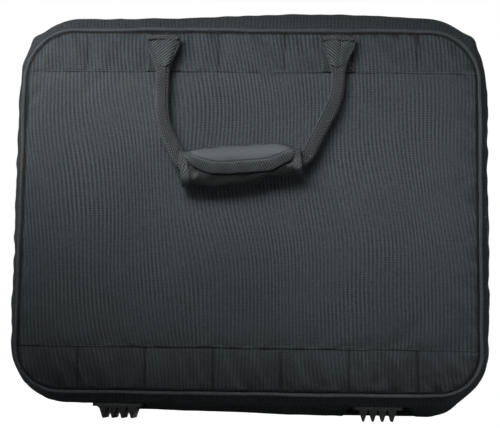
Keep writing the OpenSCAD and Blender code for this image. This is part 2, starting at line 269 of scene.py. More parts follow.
def realise(piece):
    """Applies a piece's modifiers."""
    evaluated = piece.evaluated_get(bpy.context.evaluated_depsgraph_get())
    mesh = bpy.data.meshes.new_from_object(evaluated)
    piece.modifiers.clear()
    piece.data = mesh
    return piece


def join(name, parts):
    """One piece from several, keeping each one's material."""
    with bpy.context.temp_override(active_object=parts[0], selected_editable_objects=parts):
        bpy.ops.object.join()
    parts[0].name = name
    return parts[0]


def beads(name, places, along, out, shape, material):
    """Copies a small closed tube shape (rings, sides, 3 as along, across, out) to many places."""
    across = np.cross(out, along)
    pts = (
        places[:, None, None]
        + shape[None, ..., :1] * along[:, None, None]
        + shape[None, ..., 1:2] * across[:, None, None]
        + shape[None, ..., 2:] * out[:, None, None]
    )
    rings, sides = shape.shape[:2]
    i, j = grid(np.arange(rings - 1), np.arange(sides))
    j2 = (j + 1) % sides
    corners = [i * sides + j, (i + 1) * sides + j, (i + 1) * sides + j2, i * sides + j2]
    one = np.stack(corners, -1).reshape(-1, 4)
    first = (np.arange(len(places)) * rings * sides)[:, None, None]
    faces = (first + one[None]).reshape(-1, 4).tolist()
    for k in range(len(places)):
        start = k * rings * sides
        faces.append([start + n for n in range(sides)][::-1])
        faces.append([start + (rings - 1) * sides + n for n in range(sides)])
    mesh = bpy.data.meshes.new(name)
    mesh.from_pydata(pts.reshape(-1, 3).tolist(), [], faces)
    return finish_mesh(name, mesh, [material])


def bead_shape(path, radii, sides=6):
    """A bead along a path of (along, across, out) points in the along-out plane, with a radius at each."""
    path = np.array(path, float)
    radii = np.array(radii, float)
    a = around(sides)
    shape = np.zeros((len(path), sides, 3))
    for k in range(len(path)):
        shape[k] = path[k]
        shape[k, :, 1] += radii[k] * np.cos(a)
        shape[k, :, 2] += radii[k] * np.sin(a)
    return shape


def stitch_row(name, points, out, material, pitch=3.4 * MM, length=2.5 * MM, radius=0.33 * MM):
    """Lock stitches along polylines, each a lens-shaped length of thread sunk at its ends."""

    def at_distance(line, s, at):
        return np.stack([np.interp(at, s, line[:, k]) for k in range(3)], -1)

    places, along, normals = [], [], []
    for line, normal in zip(points, out):
        gaps = np.linalg.norm(np.diff(line, axis=0), axis=1)
        s = np.concatenate([[0], np.cumsum(gaps)])
        at = np.arange(pitch / 2, s[-1], pitch)
        n = at_distance(normal, s, at)
        t = unit(at_distance(line, s, at + pitch / 3) - at_distance(line, s, at - pitch / 3))
        places.append(at_distance(line, s, at))
        along.append(t)
        normals.append(unit(n - (n * t).sum(-1, keepdims=True) * t))
    h = length / 2
    profile = [(-h, -1.0, 0.4), (-0.6 * h, 0.2, 0.9), (0, 0.7, 1.0), (0.6 * h, 0.2, 0.9), (h, -1.0, 0.4)]
    path = [(x, 0, rise * radius) for x, rise, _ in profile]
    shape = bead_shape(path, [thick * radius for _, _, thick in profile])
    places, along, normals = (np.concatenate(part) for part in (places, along, normals))
    return beads(name, places, along, normals, shape, material)


# ---- Materials ----


class Nodes:
    """Short names for building one material's node tree."""

    def __init__(self, name):
        self.material = bpy.data.materials.new(name)
        self.material.use_nodes = True
        self.tree = self.material.node_tree
        self.shader = self.tree.nodes["Principled BSDF"]

    def add(self, kind, **settings):
        n = self.tree.nodes.new("ShaderNode" + kind)
        for key, value in settings.items():
            setattr(n, key, value)
        return n

    def put(self, value, socket):
        if isinstance(value, bpy.types.NodeSocket):
            self.tree.links.new(value, socket)
        else:
            socket.default_value = value

    def math(self, operation, a, b=0.0, c=0.0):
        n = self.add("Math", operation=operation)
        for socket, value in zip(n.inputs, (a, b, c)):
            self.put(value, socket)
        return n.outputs[0]

    def times(self, a, b):
        return self.math("MULTIPLY", a, b)

    def plus(self, a, b):
        return self.math("ADD", a, b)

    def scaled_plus(self, a, scale, b):
        return self.math("MULTIPLY_ADD", a, scale, b)

    def uv(self):
        """The cloth's u and v distances in metres."""
        n = self.add("SeparateXYZ")
        self.put(self.add("UVMap", uv_map="UVMap").outputs[0], n.inputs[0])
        return n.outputs[0], n.outputs[1]

    def noise(self, size, detail=2.0, rough=0.5):
        n = self.add("TexNoise")
        self.put(self.add("TexCoord").outputs["Object"], n.inputs["Vector"])
        n.inputs["Scale"].default_value = 1 / size
        n.inputs["Detail"].default_value = detail
        n.inputs["Roughness"].default_value = rough
        return n.outputs[0]

    def sine(self, value, pitch):
        """-1 to 1, once in each pitch."""
        return self.math("SINE", self.times(value, math.tau / pitch))

    def spread(self, value, low, high, to_low=0.0, to_high=1.0):
        n = self.add("MapRange")
        for socket, v in zip(n.inputs, (value, low, high, to_low, to_high)):
            self.put(v, socket)
        return n.outputs[0]

    def patches(self, size, detail, to_low, to_high):
        """Broad soft patches between two values."""
        return self.spread(self.noise(size, detail), 0.3, 0.7, to_low, to_high)

    def mix(self, share, a, b):
        n = self.add("Mix", data_type="RGBA")
        self.put(share, n.inputs[0])
        self.put(a, n.inputs[6])
        self.put(b, n.inputs[7])
        return n.outputs[2]

    def shade(self, colour, factor):
        """The colour times a brightness."""
        n = self.add("VectorMath", operation="SCALE")
        self.put(colour if isinstance(colour, bpy.types.NodeSocket) else colour[:3], n.inputs[0])
        self.put(factor, n.inputs["Scale"])
        return n.outputs[0]

    def bump(self, height, depth):
        n = self.add("Bump")
        n.inputs["Strength"].default_value = 1.0
        n.inputs["Distance"].default_value = depth
        self.put(height, n.inputs["Height"])
        self.put(n.outputs[0], self.shader.inputs["Normal"])

    def finish(self, colour, roughness, sheen=0.0, specular=0.5, metallic=0.0):
        s = self.shader.inputs
        self.put(colour, s["Base Color"])
        self.put(roughness, s["Roughness"])
        self.put(metallic, s["Metallic"])
        self.put(specular, s["Specular IOR Level"])
        self.put(sheen, s["Sheen Weight"])
        s["Sheen Roughness"].default_value = 0.4
        return self.material


def tint(r, g, b):
    return (r, g, b, 1.0)


def ribbed_nylon(name, colour, rib_pitch=4.4 * MM, rib=0.5, slant=0.08, facing_light=False):
    """Heavy nylon with fine yarns, and broad soft ribs that wander a little."""
    n = Nodes(name)
    u, v = n.uv()
    drift = n.times(n.math("SUBTRACT", n.noise(130 * MM, 0.0), 0.5), 26 * MM)
    lean = n.times(v, slant)
    ribs = n.sine(n.plus(n.plus(u, drift), lean), rib_pitch)
    yarn = n.times(n.sine(u, 1.15 * MM), n.sine(v, 0.95 * MM))
    weft = n.sine(n.plus(v, n.times(drift, 0.3)), 2.7 * MM)
    strong = n.spread(n.noise(38 * MM, 2.0), 0.35, 0.65, 0.45, 1.0)
    grain = n.math("SUBTRACT", n.noise(2.6 * MM, 3.0, rough=0.7), 0.5)
    level = n.scaled_plus(n.times(ribs, strong), rib, 1.0)
    level = n.scaled_plus(n.times(weft, strong), 0.2, level)
    level = n.scaled_plus(yarn, 0.12, level)
    level = n.scaled_plus(grain, 1.3, level)
    level = n.times(level, n.patches(120 * MM, 3.0, 0.9, 1.1))
    # painted shade stored on the piece darkens the colour, and painted light lightens it where the value is below
    # 0
    shade = n.add("Attribute", attribute_name="seam_shade").outputs["Fac"]
    level = n.times(level, n.math("SUBTRACT", 1.0, shade))
    lint = n.spread(n.noise(2.2 * MM, 0.0), 0.80, 0.86, 0.0, 0.4)
    base = n.mix(lint, n.shade(colour, level), tint(0.15, 0.16, 0.165))
    height = n.scaled_plus(ribs, 0.6, n.scaled_plus(yarn, 0.4, n.noise(0.7 * MM, 1.0)))
    n.bump(height, 0.45 * MM)
    # painted light on round piping: lighter where it faces the camera, with painted shade toward its grazing sides
    if facing_light:
        facing = n.add("LayerWeight").outputs["Facing"]
        base = n.shade(base, n.spread(facing, 0.15, 0.6, 1.5, 0.12))
    rough = n.patches(30 * MM, 2.0, 0.52, 0.66)
    return n.finish(base, rough, sheen=0.04, specular=0.35)


def plain_cloth(name, colour, pitch=0.9 * MM, roughness=0.7, specular=0.35, depth=0.12 * MM):
    """Plain fine weave."""
    n = Nodes(name)
    u, v = n.uv()
    yarn = n.times(n.sine(u, pitch), n.sine(v, pitch))
    level = n.scaled_plus(yarn, 0.14, n.patches(35 * MM, 3.0, 0.85, 1.15))
    n.bump(n.plus(yarn, n.noise(1.2 * MM, 2.0)), depth)
    rough = n.patches(18 * MM, 2.0, roughness - 0.08, roughness + 0.06)
    return n.finish(n.shade(colour, level), rough, sheen=0.1, specular=specular)


def chevron_webbing(name, colour, pitch=3.5 * MM, half_width=9.5 * MM):
    """Webbing whose twill turns at the middle, so that it shows as chevrons along the strap."""
    n = Nodes(name)
    u, v = n.uv()
    fold = n.math("PINGPONG", v, half_width)
    line = n.scaled_plus(fold, 0.9, u)
    line = n.plus(line, n.times(n.noise(6 * MM, 1.0), 1.2 * MM))
    twill = n.sine(line, pitch)
    yarn = n.sine(v, 1.3 * MM)
    level = n.scaled_plus(twill, 0.95, n.scaled_plus(yarn, 0.3, 1.1))
    level = n.times(level, n.patches(25 * MM, 2.0, 0.8, 1.2))
    n.bump(n.scaled_plus(twill, 1.0, n.times(yarn, 0.4)), 0.4 * MM)
    return n.finish(n.shade(colour, level), n.spread(twill, -1.0, 1.0, 0.62, 0.42), sheen=0.1, specular=0.5)


def grosgrain(name, colour, pitch=2.8 * MM, slant=0.8):
    """Binding tape with raised diagonal ribs."""
    n = Nodes(name)
    u, v = n.uv()
    rib = n.sine(n.scaled_plus(v, slant, u), pitch)
    level = n.scaled_plus(rib, 0.75, n.patches(12 * MM, 2.0, 0.85, 1.2))
    n.bump(n.plus(rib, n.noise(0.8 * MM, 1.0)), 0.3 * MM)
    return n.finish(n.shade(colour, level), n.spread(rib, -1.0, 1.0, 0.65, 0.45), sheen=0.12, specular=0.5)


def speckled(name, colour, size, roughness, specular=0.5, metallic=0.0, depth=0.05 * MM, wear=0.15):
    """Moulded plastic, metal, foam or board: fine grain, patchy gloss and a little wear."""
    n = Nodes(name)
    grain = n.noise(size, 4.0)
    level = n.patches(30 * size, 3.0, 1 - wear, 1 + wear)
    level = n.scaled_plus(n.math("SUBTRACT", grain, 0.5), wear, level)
    n.bump(grain, depth)
    rough = n.patches(12 * size, 3.0, roughness - 0.1, roughness + 0.1)
    return n.finish(n.shade(colour, level), rough, specular=specular, metallic=metallic)


NYLON = ribbed_nylon("nylon", tint(0.047, 0.058, 0.0645))
NYLON_SIDE = ribbed_nylon("nylon_gusset", tint(0.029, 0.035, 0.039), rib=0.2, slant=0.0)
# the piping's cloth carries painted light and painted shade by how it faces the camera
PIPE_CLOTH = ribbed_nylon("piping_cloth", tint(0.050, 0.059, 0.064), 1.9 * MM, 0.2, 0.9, facing_light=True)
WEBBING = chevron_webbing("webbing", tint(0.029, 0.034, 0.037))
BINDING = grosgrain("binding_tape", tint(0.034, 0.039, 0.042))
SLEEK = {"roughness": 0.48, "specular": 0.4, "depth": 0.05 * MM}
SMOOTH = plain_cloth("smooth_nylon", tint(0.010, 0.011, 0.012), **SLEEK)
# painted light: the flap's cloth is a lighter grey than the sleeve's smooth nylon because its face turns up to the
# key light
LIT_FLAP_CLOTH = plain_cloth("flap_cloth", tint(0.066, 0.076, 0.082), pitch=2.2 * MM, roughness=0.62)
LINING = plain_cloth("lining_cloth", tint(0.045, 0.049, 0.052))
TAPE = grosgrain("zip_tape_cloth", tint(0.018, 0.020, 0.021), pitch=1.4 * MM, slant=0.0)
THREAD = speckled("thread", tint(0.008, 0.009, 0.010), 0.5 * MM, 0.6)
PALE_THREAD = speckled("pale_thread", tint(0.085, 0.095, 0.102), 0.5 * MM, 0.5)
FOOT_PLASTIC = speckled("foot_plastic", tint(0.06, 0.063, 0.066), 0.6 * MM, 0.42, depth=0.08 * MM)
METAL = speckled("zinc", tint(0.16, 0.16, 0.165), 0.8 * MM, 0.35, metallic=1.0)
STEEL = speckled("steel", tint(0.5, 0.5, 0.51), 0.8 * MM, 0.3, metallic=1.0)
COIL = speckled("coil_nylon", tint(0.014, 0.015, 0.016), 0.5 * MM, 0.4)
FOAM = speckled("foam", tint(0.12, 0.12, 0.125), 1.0 * MM, 0.85, depth=0.3 * MM)
BOARD = speckled("board", tint(0.32, 0.26, 0.18), 1.5 * MM, 0.85, depth=0.1 * MM)
HOOKS = speckled("hook_and_loop", tint(0.010, 0.010, 0.011), 0.7 * MM, 0.8, depth=0.4 * MM)
CORD = speckled("cord", tint(0.012, 0.012, 0.013), 0.8 * MM, 0.6)

CAD_LOOKS = {
    "foot_plastic": FOOT_PLASTIC,
    "steel": STEEL,
    "zip_metal": METAL,
    "foam": FOAM,
    "board": BOARD,
    "cord": CORD,
    "lining": LINING,
    "tape": HOOKS,
    "trim": BINDING,
    "webbing": WEBBING,
    "zip_coil": COIL,
    "nylon": NYLON,
}


def dress_cad_nodes():
    """Every CAD node gets its slot's material. The visible hard ones get soft edges."""
    slots = {s["node"]: s["material_slot"] for s in frame["record"]["subparts"]}
    for name, node in frame["nodes"].items():
        node.data.materials.clear()
        node.data.materials.append(CAD_LOOKS[slots[name]])
        if slots[name] in ("foot_plastic", "zip_metal", "steel"):
            bevel = node.modifiers.new("soft_edges", "BEVEL")
            bevel.width = 0.5 * MM if slots[name] == "foot_plastic" else 0.15 * MM
            bevel.segments = 2
            bevel.limit_method = "ANGLE"


# ---- The seam line ----

QUARTER = math.pi / 2
LOW_X = HALF_W - LOW_R
TOP_X = HALF_W - TOP_R
SIDE = TOP_Z - TOP_R - (LOW_Z + LOW_R)
CORNER_START = LOW_X
CORNER_END = CORNER_START + LOW_R * QUARTER
SIDE_END = CORNER_END + SIDE
TOP_START = SIDE_END + TOP_R * QUARTER
HALF_SEAM = TOP_START + TOP_X
ZIP_FOOT = CORNER_START + LOW_R * QUARTER / 2


def seam(s):
    """Place (x, 0, z) and outward direction on the seam line, at distance s from the middle of the
    bottom, anticlockwise seen from the front."""
    s = np.asarray(s, float) % (2 * HALF_SEAM)
    side = np.where(s > HALF_SEAM, -1.0, 1.0)
    t = np.where(s > HALF_SEAM, 2 * HALF_SEAM - s, s)
    low_turn = np.clip((t - CORNER_START) / LOW_R, 0, QUARTER) - QUARTER
    top_turn = np.clip((t - SIDE_END) / TOP_R, 0, QUARTER)
    turn = np.where(t < CORNER_END, low_turn, top_turn)
    r = np.where(t < CORNER_END, LOW_R, TOP_R)
    nx, nz = np.cos(turn), np.sin(turn)
    along_top = TOP_X - np.clip(t - TOP_START, 0, None)
    cx = np.where(t < CORNER_START, t, LOW_X)
    cx = np.where(t > SIDE_END, along_top, np.where(t < CORNER_END, cx, TOP_X))
    up = LOW_Z + LOW_R + np.clip(t - CORNER_END, 0, SIDE)
    x = side * (np.where((t >= CORNER_END) & (t <= SIDE_END), HALF_W - r, cx) + r * nx)
    z = np.where(t < CORNER_END, LOW_Z + LOW_R, up) + r * nz
    zero = np.zeros_like(x)
    return np.stack([x, zero, z], -1), np.stack([side * nx, zero, nz], -1)


def from_bottom(s):
    """Distance along the seam from the middle of the bottom, the shorter way."""
    s = np.asarray(s, float) % (2 * HALF_SEAM)
    return np.minimum(s, 2 * HALF_SEAM - s)


def inside_seam(x, z):
    """How far a point of the panel is inside the seam line."""
    r = np.where(z > MIDDLE_Z, TOP_R, LOW_R)
    qx = np.abs(x) - (HALF_W - r)
    qz = np.abs(z - MIDDLE_Z) - ((TOP_Z - LOW_Z) / 2 - r)
    outside = np.hypot(np.maximum(qx, 0), np.maximum(qz, 0))
    return r - outside - np.minimum(np.maximum(qx, qz), 0)


# ---- Gusset surface ----


CORNER_MIDDLE = (SIDE_END + TOP_START) / 2


def rim_scale(s):
    """The gusset bulges less down the sides and round the corners than over the top."""
    _, n = seam(s)
    side_share = smooth(1 - np.clip(n[..., 2], 0, 1))
    corner = dip(from_bottom(s) - CORNER_MIDDLE, 34 * MM)
    return 1 - 0.24 * side_share - 0.14 * corner


def rim_off(s, deg, depth=0.0):
    """(outward offset, y) on the gusset's arc, at an angle about its centre, and a depth under its face."""
    rad = np.radians(deg)
    off = ((GUSSET_R - depth) * np.cos(rad) - (GUSSET_R - BULGE)) * rim_scale(s)
    return off, (GUSSET_R - depth) * np.sin(rad)


def zip_gap(y_deg):
    """0 beside the zip, 1 from 10 mm away, so that crumples leave the zip straight."""
    near = np.abs(y_deg - ZIP_DEG) * math.pi / 180 * GUSSET_R
    return smooth((near - 9 * MM) / (14 * MM))


FOOT_REACH = 31 * MM  # half the width of a foot, and a little more
MIDDLE_SAG = 9 * MM  # how far the base hangs between the feet
SAG_TILT = 3.5 * MM  # and how much further at the right foot
RIGHT_SAG = 11 * MM  # how far it hangs beyond the right foot
LEFT_SAG = -1 * MM  # it is drawn tight beyond the left one


def base_off(s, y):
    """Outward offset of the base's fabric at depth y: a flat-bottomed channel that sags beside the feet."""
    round_r = BASE_DROP
    flat = GUSSET_Y - round_r
    over = np.clip(np.abs(y) - flat, 0, round_r)
    off = np.sqrt(np.maximum(round_r**2 - over**2, 0))
    place, _ = seam(s)
    x = place[..., 0]
    between = 1 - smooth((np.abs(x) - FOOT_X + FOOT_REACH + 11 * MM) / (11 * MM))
    beyond = smooth((np.abs(x) - FOOT_X - FOOT_REACH) / (12 * MM))
    beyond = beyond * (1 - smooth((np.abs(x) - CORNER_START - 8 * MM) / (34 * MM)))
    sag = between * (MIDDLE_SAG + SAG_TILT * x / FOOT_X + 1.0 * MM * wobble(x, y, 60 * MM, 31))
    sag = sag + beyond * np.where(x > 0, RIGHT_SAG, LEFT_SAG)
    sag = sag * (1 - smooth((np.abs(y) - 12 * MM) / (19 * MM)))
    widen = np.where(x < -FOOT_X, -6 * MM, 14 * MM)
    past_foot = np.abs(np.abs(x) - FOOT_X) - FOOT_REACH - widen
    behind_foot = (1 - smooth(past_foot / (12 * MM))) * dip(y - 35 * MM, 6 * MM)
    return off + sag + behind_foot * np.where(x > 0, 12.5 * MM, 8.5 * MM)


def gusset_off(s, y):
    """Outward offset of the gusset's face all the way round. The front side of the rim billows over
    the top, hollows at the low corners, stands up in a fold at the high ones, and is lumpy all over."""
    deg = np.degrees(np.arcsin(np.clip(y / GUSSET_R, -1, 1)))
    rim, _ = rim_off(s, deg)
    rim = np.where(np.abs(y) > GUSSET_Y, 0, rim)
    place, _ = seam(s)
    billow = smooth((y + GUSSET_Y + 2 * MM) / (16 * MM)) * smooth((14 * MM - y) / (22 * MM))
    right_of_middle = dip(place[..., 0] - 75 * MM, 130 * MM)
    rim = rim + rim_top_share(s) * billow * (4.0 * MM + 7.0 * MM * right_of_middle)
    rim = rim - 3.5 * MM * dip(from_bottom(s) - ZIP_FOOT, 40 * MM) * billow
    rim = rim + 4.5 * MM * dip(from_bottom(s) - CORNER_MIDDLE, 7 * MM) * billow
    share = smooth((from_bottom(s) - CORNER_START + 12 * MM) / (ZIP_FOOT - CORNER_START + 12 * MM))
    off = base_off(s, y) * (1 - share) + rim * share
    seam_fade = smooth((SEAM_Y - np.abs(y)) / (14 * MM))
    lumps = creases(s, 1.6 * y, 30 * MM, 7) - 0.6
    lumps = lumps + 0.35 * wobble(s, y, 12 * MM, 8)
    size = (1.7 * MM - 0.9 * MM * rim_top_share(s)) * share + 0.5 * MM * (1 - share)
    off = off + size * lumps * seam_fade * zip_gap(deg)
    tuck = smooth((np.abs(y) - GUSSET_Y + 1 * MM) / (SEAM_Y - GUSSET_Y))
    return off - 2.2 * MM * tuck


def rim_top_share(s):
    """1 over the top of the case, 0 down its sides and underneath."""
    _, n = seam(s)
    return smooth(np.clip(n[..., 2], 0, 1))


def half_weight(s, y, side):
    """How far a point of the gusset follows its half rather than the base as the half opens."""
    reach = 110 * MM
    up = smooth((from_bottom(s) - ZIP_FOOT) / reach)
    corner = smooth((from_bottom(s) - CORNER_START + 20 * MM) / (50 * MM))
    across = (SEAM_Y - side * y) / (4 * MM + 26 * MM * corner)
    near_seam = 1 - smooth(across)
    return 1 - (1 - up) * (1 - near_seam)


def hang_between(piece, side, weights):
    """The piece bends between the base and a half, with the weight given for each of its vertices."""
    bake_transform(piece, "base", HALF_BODY[side], start=(0, side * 0.02, LOW_Z), end=(0, side * SEAM_Y, TOP_Z))
    bend_by(piece, weights)


def along_seam(start, end, step):
    return np.linspace(start, end, max(2, int(round((end - start) / step)) + 1))


def narrowed(pts):
    """The case is a little wider at its foot than at its top."""
    taper = 0.009  # the share by which its foot is wider than its middle
    pts[..., 0] = pts[..., 0] * (1 + taper * (MIDDLE_Z - pts[..., 2]) / (TOP_Z - MIDDLE_Z))
    return pts


def swept(s, off, y):
    """Points at outward offset and depth from the seam line, for arrays of the same shape."""
    place, out = seam(s)
    pts = place + out * off[..., None]
    pts[..., 1] = y
    return narrowed(pts)


# ---- Panels ----


def panel_rows():
    """The panel's grid: x and z of each point. Columns are straight between the corners, and the
    outer ones follow the rounded outline. The grid is finer beside the stitches and at the edge."""
    inset = 1.2 * MM
    low_end, high_end = LOW_Z + inset, TOP_Z - inset
    z = spaced(low_end, high_end, 4 * MM, [low_end, *STITCH_Z, high_end], 0.8 * MM, 5 * MM)
    r = np.where(z > MIDDLE_Z, TOP_R, LOW_R)
    near = np.where(z > MIDDLE_Z, TOP_Z - z, z - LOW_Z)
    rise = np.clip(r - near, 0, None)
    half = HALF_W - r + np.sqrt(np.maximum((r - inset) ** 2 - rise**2, 0))
    straight = TOP_X - 3 * MM
    inner = spaced(-straight, straight, 4 * MM, TACK_X, 0.9 * MM, 4 * MM)
    outer = 1 - np.linspace(1, 0, 22)[1:] ** 1.7
    right = straight + (half[:, None] - straight) * outer[None]
    x = np.concatenate([-right[:, ::-1], np.broadcast_to(inner, (len(z), len(inner))), right], 1)
    return x, np.broadcast_to(z[:, None], x.shape)


ROW_RISE = 0.9 * MM  # the thread of a row lies above the middle of its groove
FOOT_SHADE = 0.25  # painted shade at the panel's very foot, which fades upward over a short way
LOW_SHADE = 0.20  # and the softer painted shade over its lower part


def tack_band(z):
    """1 where the short upright tacks run: between each stitch row and the nearer edge."""
    return np.where((z < STITCH_Z[0]) | (z > STITCH_Z[1]), 1.0, 0.0)


def row_line(x):
    """How far a stitch row wanders up or down."""
    return 0.5 * MM * wobble(x, 0 * x, 40 * MM, 3)


def tack_line(z):
    """How far a tack wanders sideways."""
    return 0.6 * MM * wobble(0 * z, z, 30 * MM, 4)


def edge_folds(x, z):
    """Short creases that run in from the piping, deepest down the right side. Above 0 they stand out."""
    d = inside_seam(x, z)
    folds = creases(z + 0.5 * x, 0.3 * x, 15 * MM, 12) ** 3 - 0.35
    folds = folds + 0.35 * wobble(x, z, 9 * MM, 13)
    right = 0.55 + 0.75 * smooth(x / HALF_W)
    return folds * np.exp(-d / (16 * MM)) * smooth(d / (5 * MM)) * right


def band_folds(x, z):
    """Slack in the cloth between each stitch row and the nearer edge."""
    slack = creases(x + 0.5 * z, 0.4 * z, 26 * MM, 17) ** 2 - 0.4
    folds = slack * tack_band(z)
    for row in STITCH_Z:
        folds = folds * smooth(np.abs(z - row) / (12 * MM))
    return folds


def painted_panel_shade(x, z):
    """Painted shade on the panels' nylon: darker in the groove under the piping, along the stitches and tacks, in
    the creases, below the lower stitch row and low down, with painted light just above each stitch row and on the
    crests of folds.
    """
    d = inside_seam(x, z)
    shade = 0.10 * (1 - smooth((z - STITCH_Z[0] + 4 * MM) / (8 * MM)))
    shade = shade + LOW_SHADE * (1 - smooth((z - LOW_Z) / (180 * MM)))
    shade = shade + FOOT_SHADE * (1 - smooth((z - LOW_Z) / (55 * MM)))
    uneven = 0.75 + 0.25 * wobble(x, z, 9 * MM, 18)
    for row in STITCH_Z:
        gap = z - row - row_line(x)
        shade = shade + 0.55 * dip(gap, 1.1 * MM) * uneven
        shade = shade - 0.55 * dip(gap - 2.3 * MM, 0.9 * MM) * (1.4 - uneven)
    for tack in TACK_X:
        shade = shade + 0.8 * dip(x - tack - tack_line(z), 0.9 * MM) * tack_band(z) * uneven
    shade = shade - 0.75 * edge_folds(x, z) - 0.3 * band_folds(x, z)
    return np.clip(np.maximum(shade, 0.95 * (1 - smooth((d - 4.6 * MM) / (1.8 * MM)))), -0.6, 0.97)


def panel_height(x, z):
    """How far the panel's face stands out from the seam plane: a steep wall up from the piping to a
    soft crown, with grooves at the stitch rows and tacks, puckers beside them, and loose folds."""
    d = inside_seam(x, z)
    wall = np.clip(d - 1.4 * MM, 0, None)
    h = -1.0 * MM + (PANEL_Y - SEAM_Y + 1.3 * MM) * (1 - np.exp(-wall / (1.3 * MM)))
    h = h + 1.9 * MM * (1 - np.exp(-d / (45 * MM)))
    for row in STITCH_Z:
        gap = z - row - row_line(x)
        h = h - 0.9 * MM * dip(gap, 1.3 * MM) - 0.6 * MM * np.exp(-np.abs(gap) / (7 * MM))
        pucker = wobble(x, 0.3 * z, 5 * MM, 5) + 0.6 * wobble(x, z, 11 * MM, 6)
        h = h + 0.3 * MM * pucker * dip(gap, 9 * MM)
    for tack in TACK_X:
        gap = x - tack - tack_line(z)
        depth = 0.9 * MM * dip(gap, 1.2 * MM) + 0.5 * MM * np.exp(-np.abs(gap) / (6 * MM))
        h = h - depth * tack_band(z)
    h = h + 2.2 * MM * edge_folds(x, z) + 1.3 * MM * band_folds(x, z)
    h = h + 0.45 * MM * wobble(x, z, 70 * MM, 15) + 0.22 * MM * wobble(x, z, 20 * MM, 16)
    over_foam = (PANEL_Y - SEAM_Y - 0.4 * MM) * smooth((d - 1.4 * MM) / (1.6 * MM))
    return np.where(np.abs(z - STITCH_Z[0]) > 3 * MM, np.maximum(h, over_foam), h)


def cloth_relax(piece, pinned, frames, pressure, cap, growth):
    """Runs cloth on a piece, keeps each point within cap of its start, and leaves no modifier."""
    start = get_points(piece.data)
    group = piece.vertex_groups.new(name="pinned")
    group.add([int(k) for k in np.flatnonzero(pinned)], 1.0, "REPLACE")
    cloth = piece.modifiers.new("cloth", "CLOTH")
    cloth.settings.vertex_group_mass = "pinned"
    cloth.settings.quality = 5
    cloth.settings.use_pressure = True
    cloth.settings.uniform_pressure_force = pressure
    cloth.settings.shrink_min = -growth
    cloth.settings.bending_stiffness = 2.0
    cloth.settings.effector_weights.gravity = 0
    cloth.collision_settings.use_collision = False
    scene = bpy.context.scene
    scene.frame_start = 1
    scene.frame_end = frames
    cloth.point_cache.frame_start = 1
    cloth.point_cache.frame_end = frames
    for f in range(1, frames + 1):
        scene.frame_set(f)
    moved = piece.evaluated_get(bpy.context.evaluated_depsgraph_get()).data
    shift = get_points(moved) - start
    piece.modifiers.remove(cloth)
    size = np.linalg.norm(shift, axis=1, keepdims=True)
    set_points(piece.data, start + shift * np.minimum(1, cap / np.maximum(size, 1e-9)))


def make_panels():
    x, z = panel_rows()
    h = panel_height(x, z)
    rest = np.stack([x, z], -1)
    for side in (FRONT, BACK):
        name = HALF_NAME[side]
        pts = narrowed(np.stack([x, side * (SEAM_Y + h), z], -1))
        piece = sheet(f"{name}_panel_cover", pts, rest, [NYLON, LINING], flip=side == FRONT)
        # painted shade and painted light on the panel's nylon
        paint_shade(piece, painted_panel_shade(x, z))
        if side == FRONT:
            gap_row = np.minimum(np.abs(z - STITCH_Z[0]), np.abs(z - STITCH_Z[1]))
            gap_tack = np.abs(x[..., None] - np.array(TACK_X)).min(-1)
            held = (inside_seam(x, z) < 4 * MM) | (gap_row < 2 * MM)
            held = held | ((gap_tack < 1.7 * MM) & (tack_band(z) > 0))
            cloth_relax(piece, held.ravel(), 20, 1.5, 1.8 * MM, 0.010)
        thicken(piece, 1.1 * MM, 1)
        register(piece, HALF_BODY[side], f"{name}_panel")
        make_panel_stitches(side)


def outward_normals(side, count):
    return np.tile([0.0, side, 0.0], (count, 1))


def make_panel_stitches(side):
    """Pale thread along both rows, and dark thread in the tacks."""
    step = 2 * MM
    reach = HALF_W - 5 * MM
    along_row = np.arange(-reach, reach, step)
    rows = [(along_row, row + ROW_RISE + row_line(along_row)) for row in STITCH_Z]
    tacks = []
    for tack in TACK_X:
        for low_end, high_end in ((LOW_Z + 6 * MM, STITCH_Z[0]), (STITCH_Z[1], TOP_Z - 6 * MM)):
            z = np.arange(low_end, high_end, step)
            tacks.append((tack + tack_line(z), z))
    kinds = (("row", rows, 0.42 * MM, PALE_THREAD), ("tack", tacks, 0.33 * MM, THREAD))
    for name, paths, radius, thread in kinds:
        lines, normals = [], []
        for x, z in paths:
            y = side * (SEAM_Y + panel_height(x, z) + 0.2 * MM)
            lines.append(narrowed(np.stack([x, y, z], -1)))
            normals.append(outward_normals(side, len(x)))
        piece = stitch_row(f"{HALF_NAME[side]}_{name}_thread", lines, normals, thread, radius=radius)
        register(piece, HALF_BODY[side])


def rim_grid(step, sides):
    """Distances along the whole seam line, and angles round a tube on it."""
    return grid(along_seam(0, 2 * HALF_SEAM, step)[:-1], around(sides))


def rim_tube(name, ss, pts, girth, material):
    """A closed tube right round the case, from points on a rim_grid."""
    s = np.concatenate([ss[:, 0], [2 * HALF_SEAM]])
    uv = grid_uv(s, np.linspace(0, girth, ss.shape[1] + 1))
    piece = sheet(name, np.concatenate([pts, pts[:1]]), uv, [material], wrap=True)
    weld(piece)
    return piece


def make_piping(side):
    """Fabric-covered cord round the panel, not quite even, and the cord inside it."""
    name = HALF_NAME[side]
    layers = (
        ("piping_cover", PIPING_R, 14, 0.06, PIPE_CLOTH, "trim", "piping"),
        ("piping_string", 0.6 * PIPING_R, 8, 0.02, CORD, "cord", "piping_cord"),
    )
    for layer, radius, sides, uneven, material, slot, node in layers:
        ss, aa = rim_grid(2.2 * MM, sides)
        r = radius * (1 + uneven * wobble(ss, 0.01 * aa, 14 * MM, 20 + side))
        drift = 0.5 * MM * wobble(ss, 0 * ss, 38 * MM, 40 + side)
        pts = swept(ss, r * np.cos(aa) + drift, side * SEAM_Y + r * np.sin(aa))
        piece = rim_tube(f"{name}_{layer}", ss, pts, math.tau * radius, material)
        register(piece, HALF_BODY[side], f"{name}_{node}")


# ---- Gussets ----

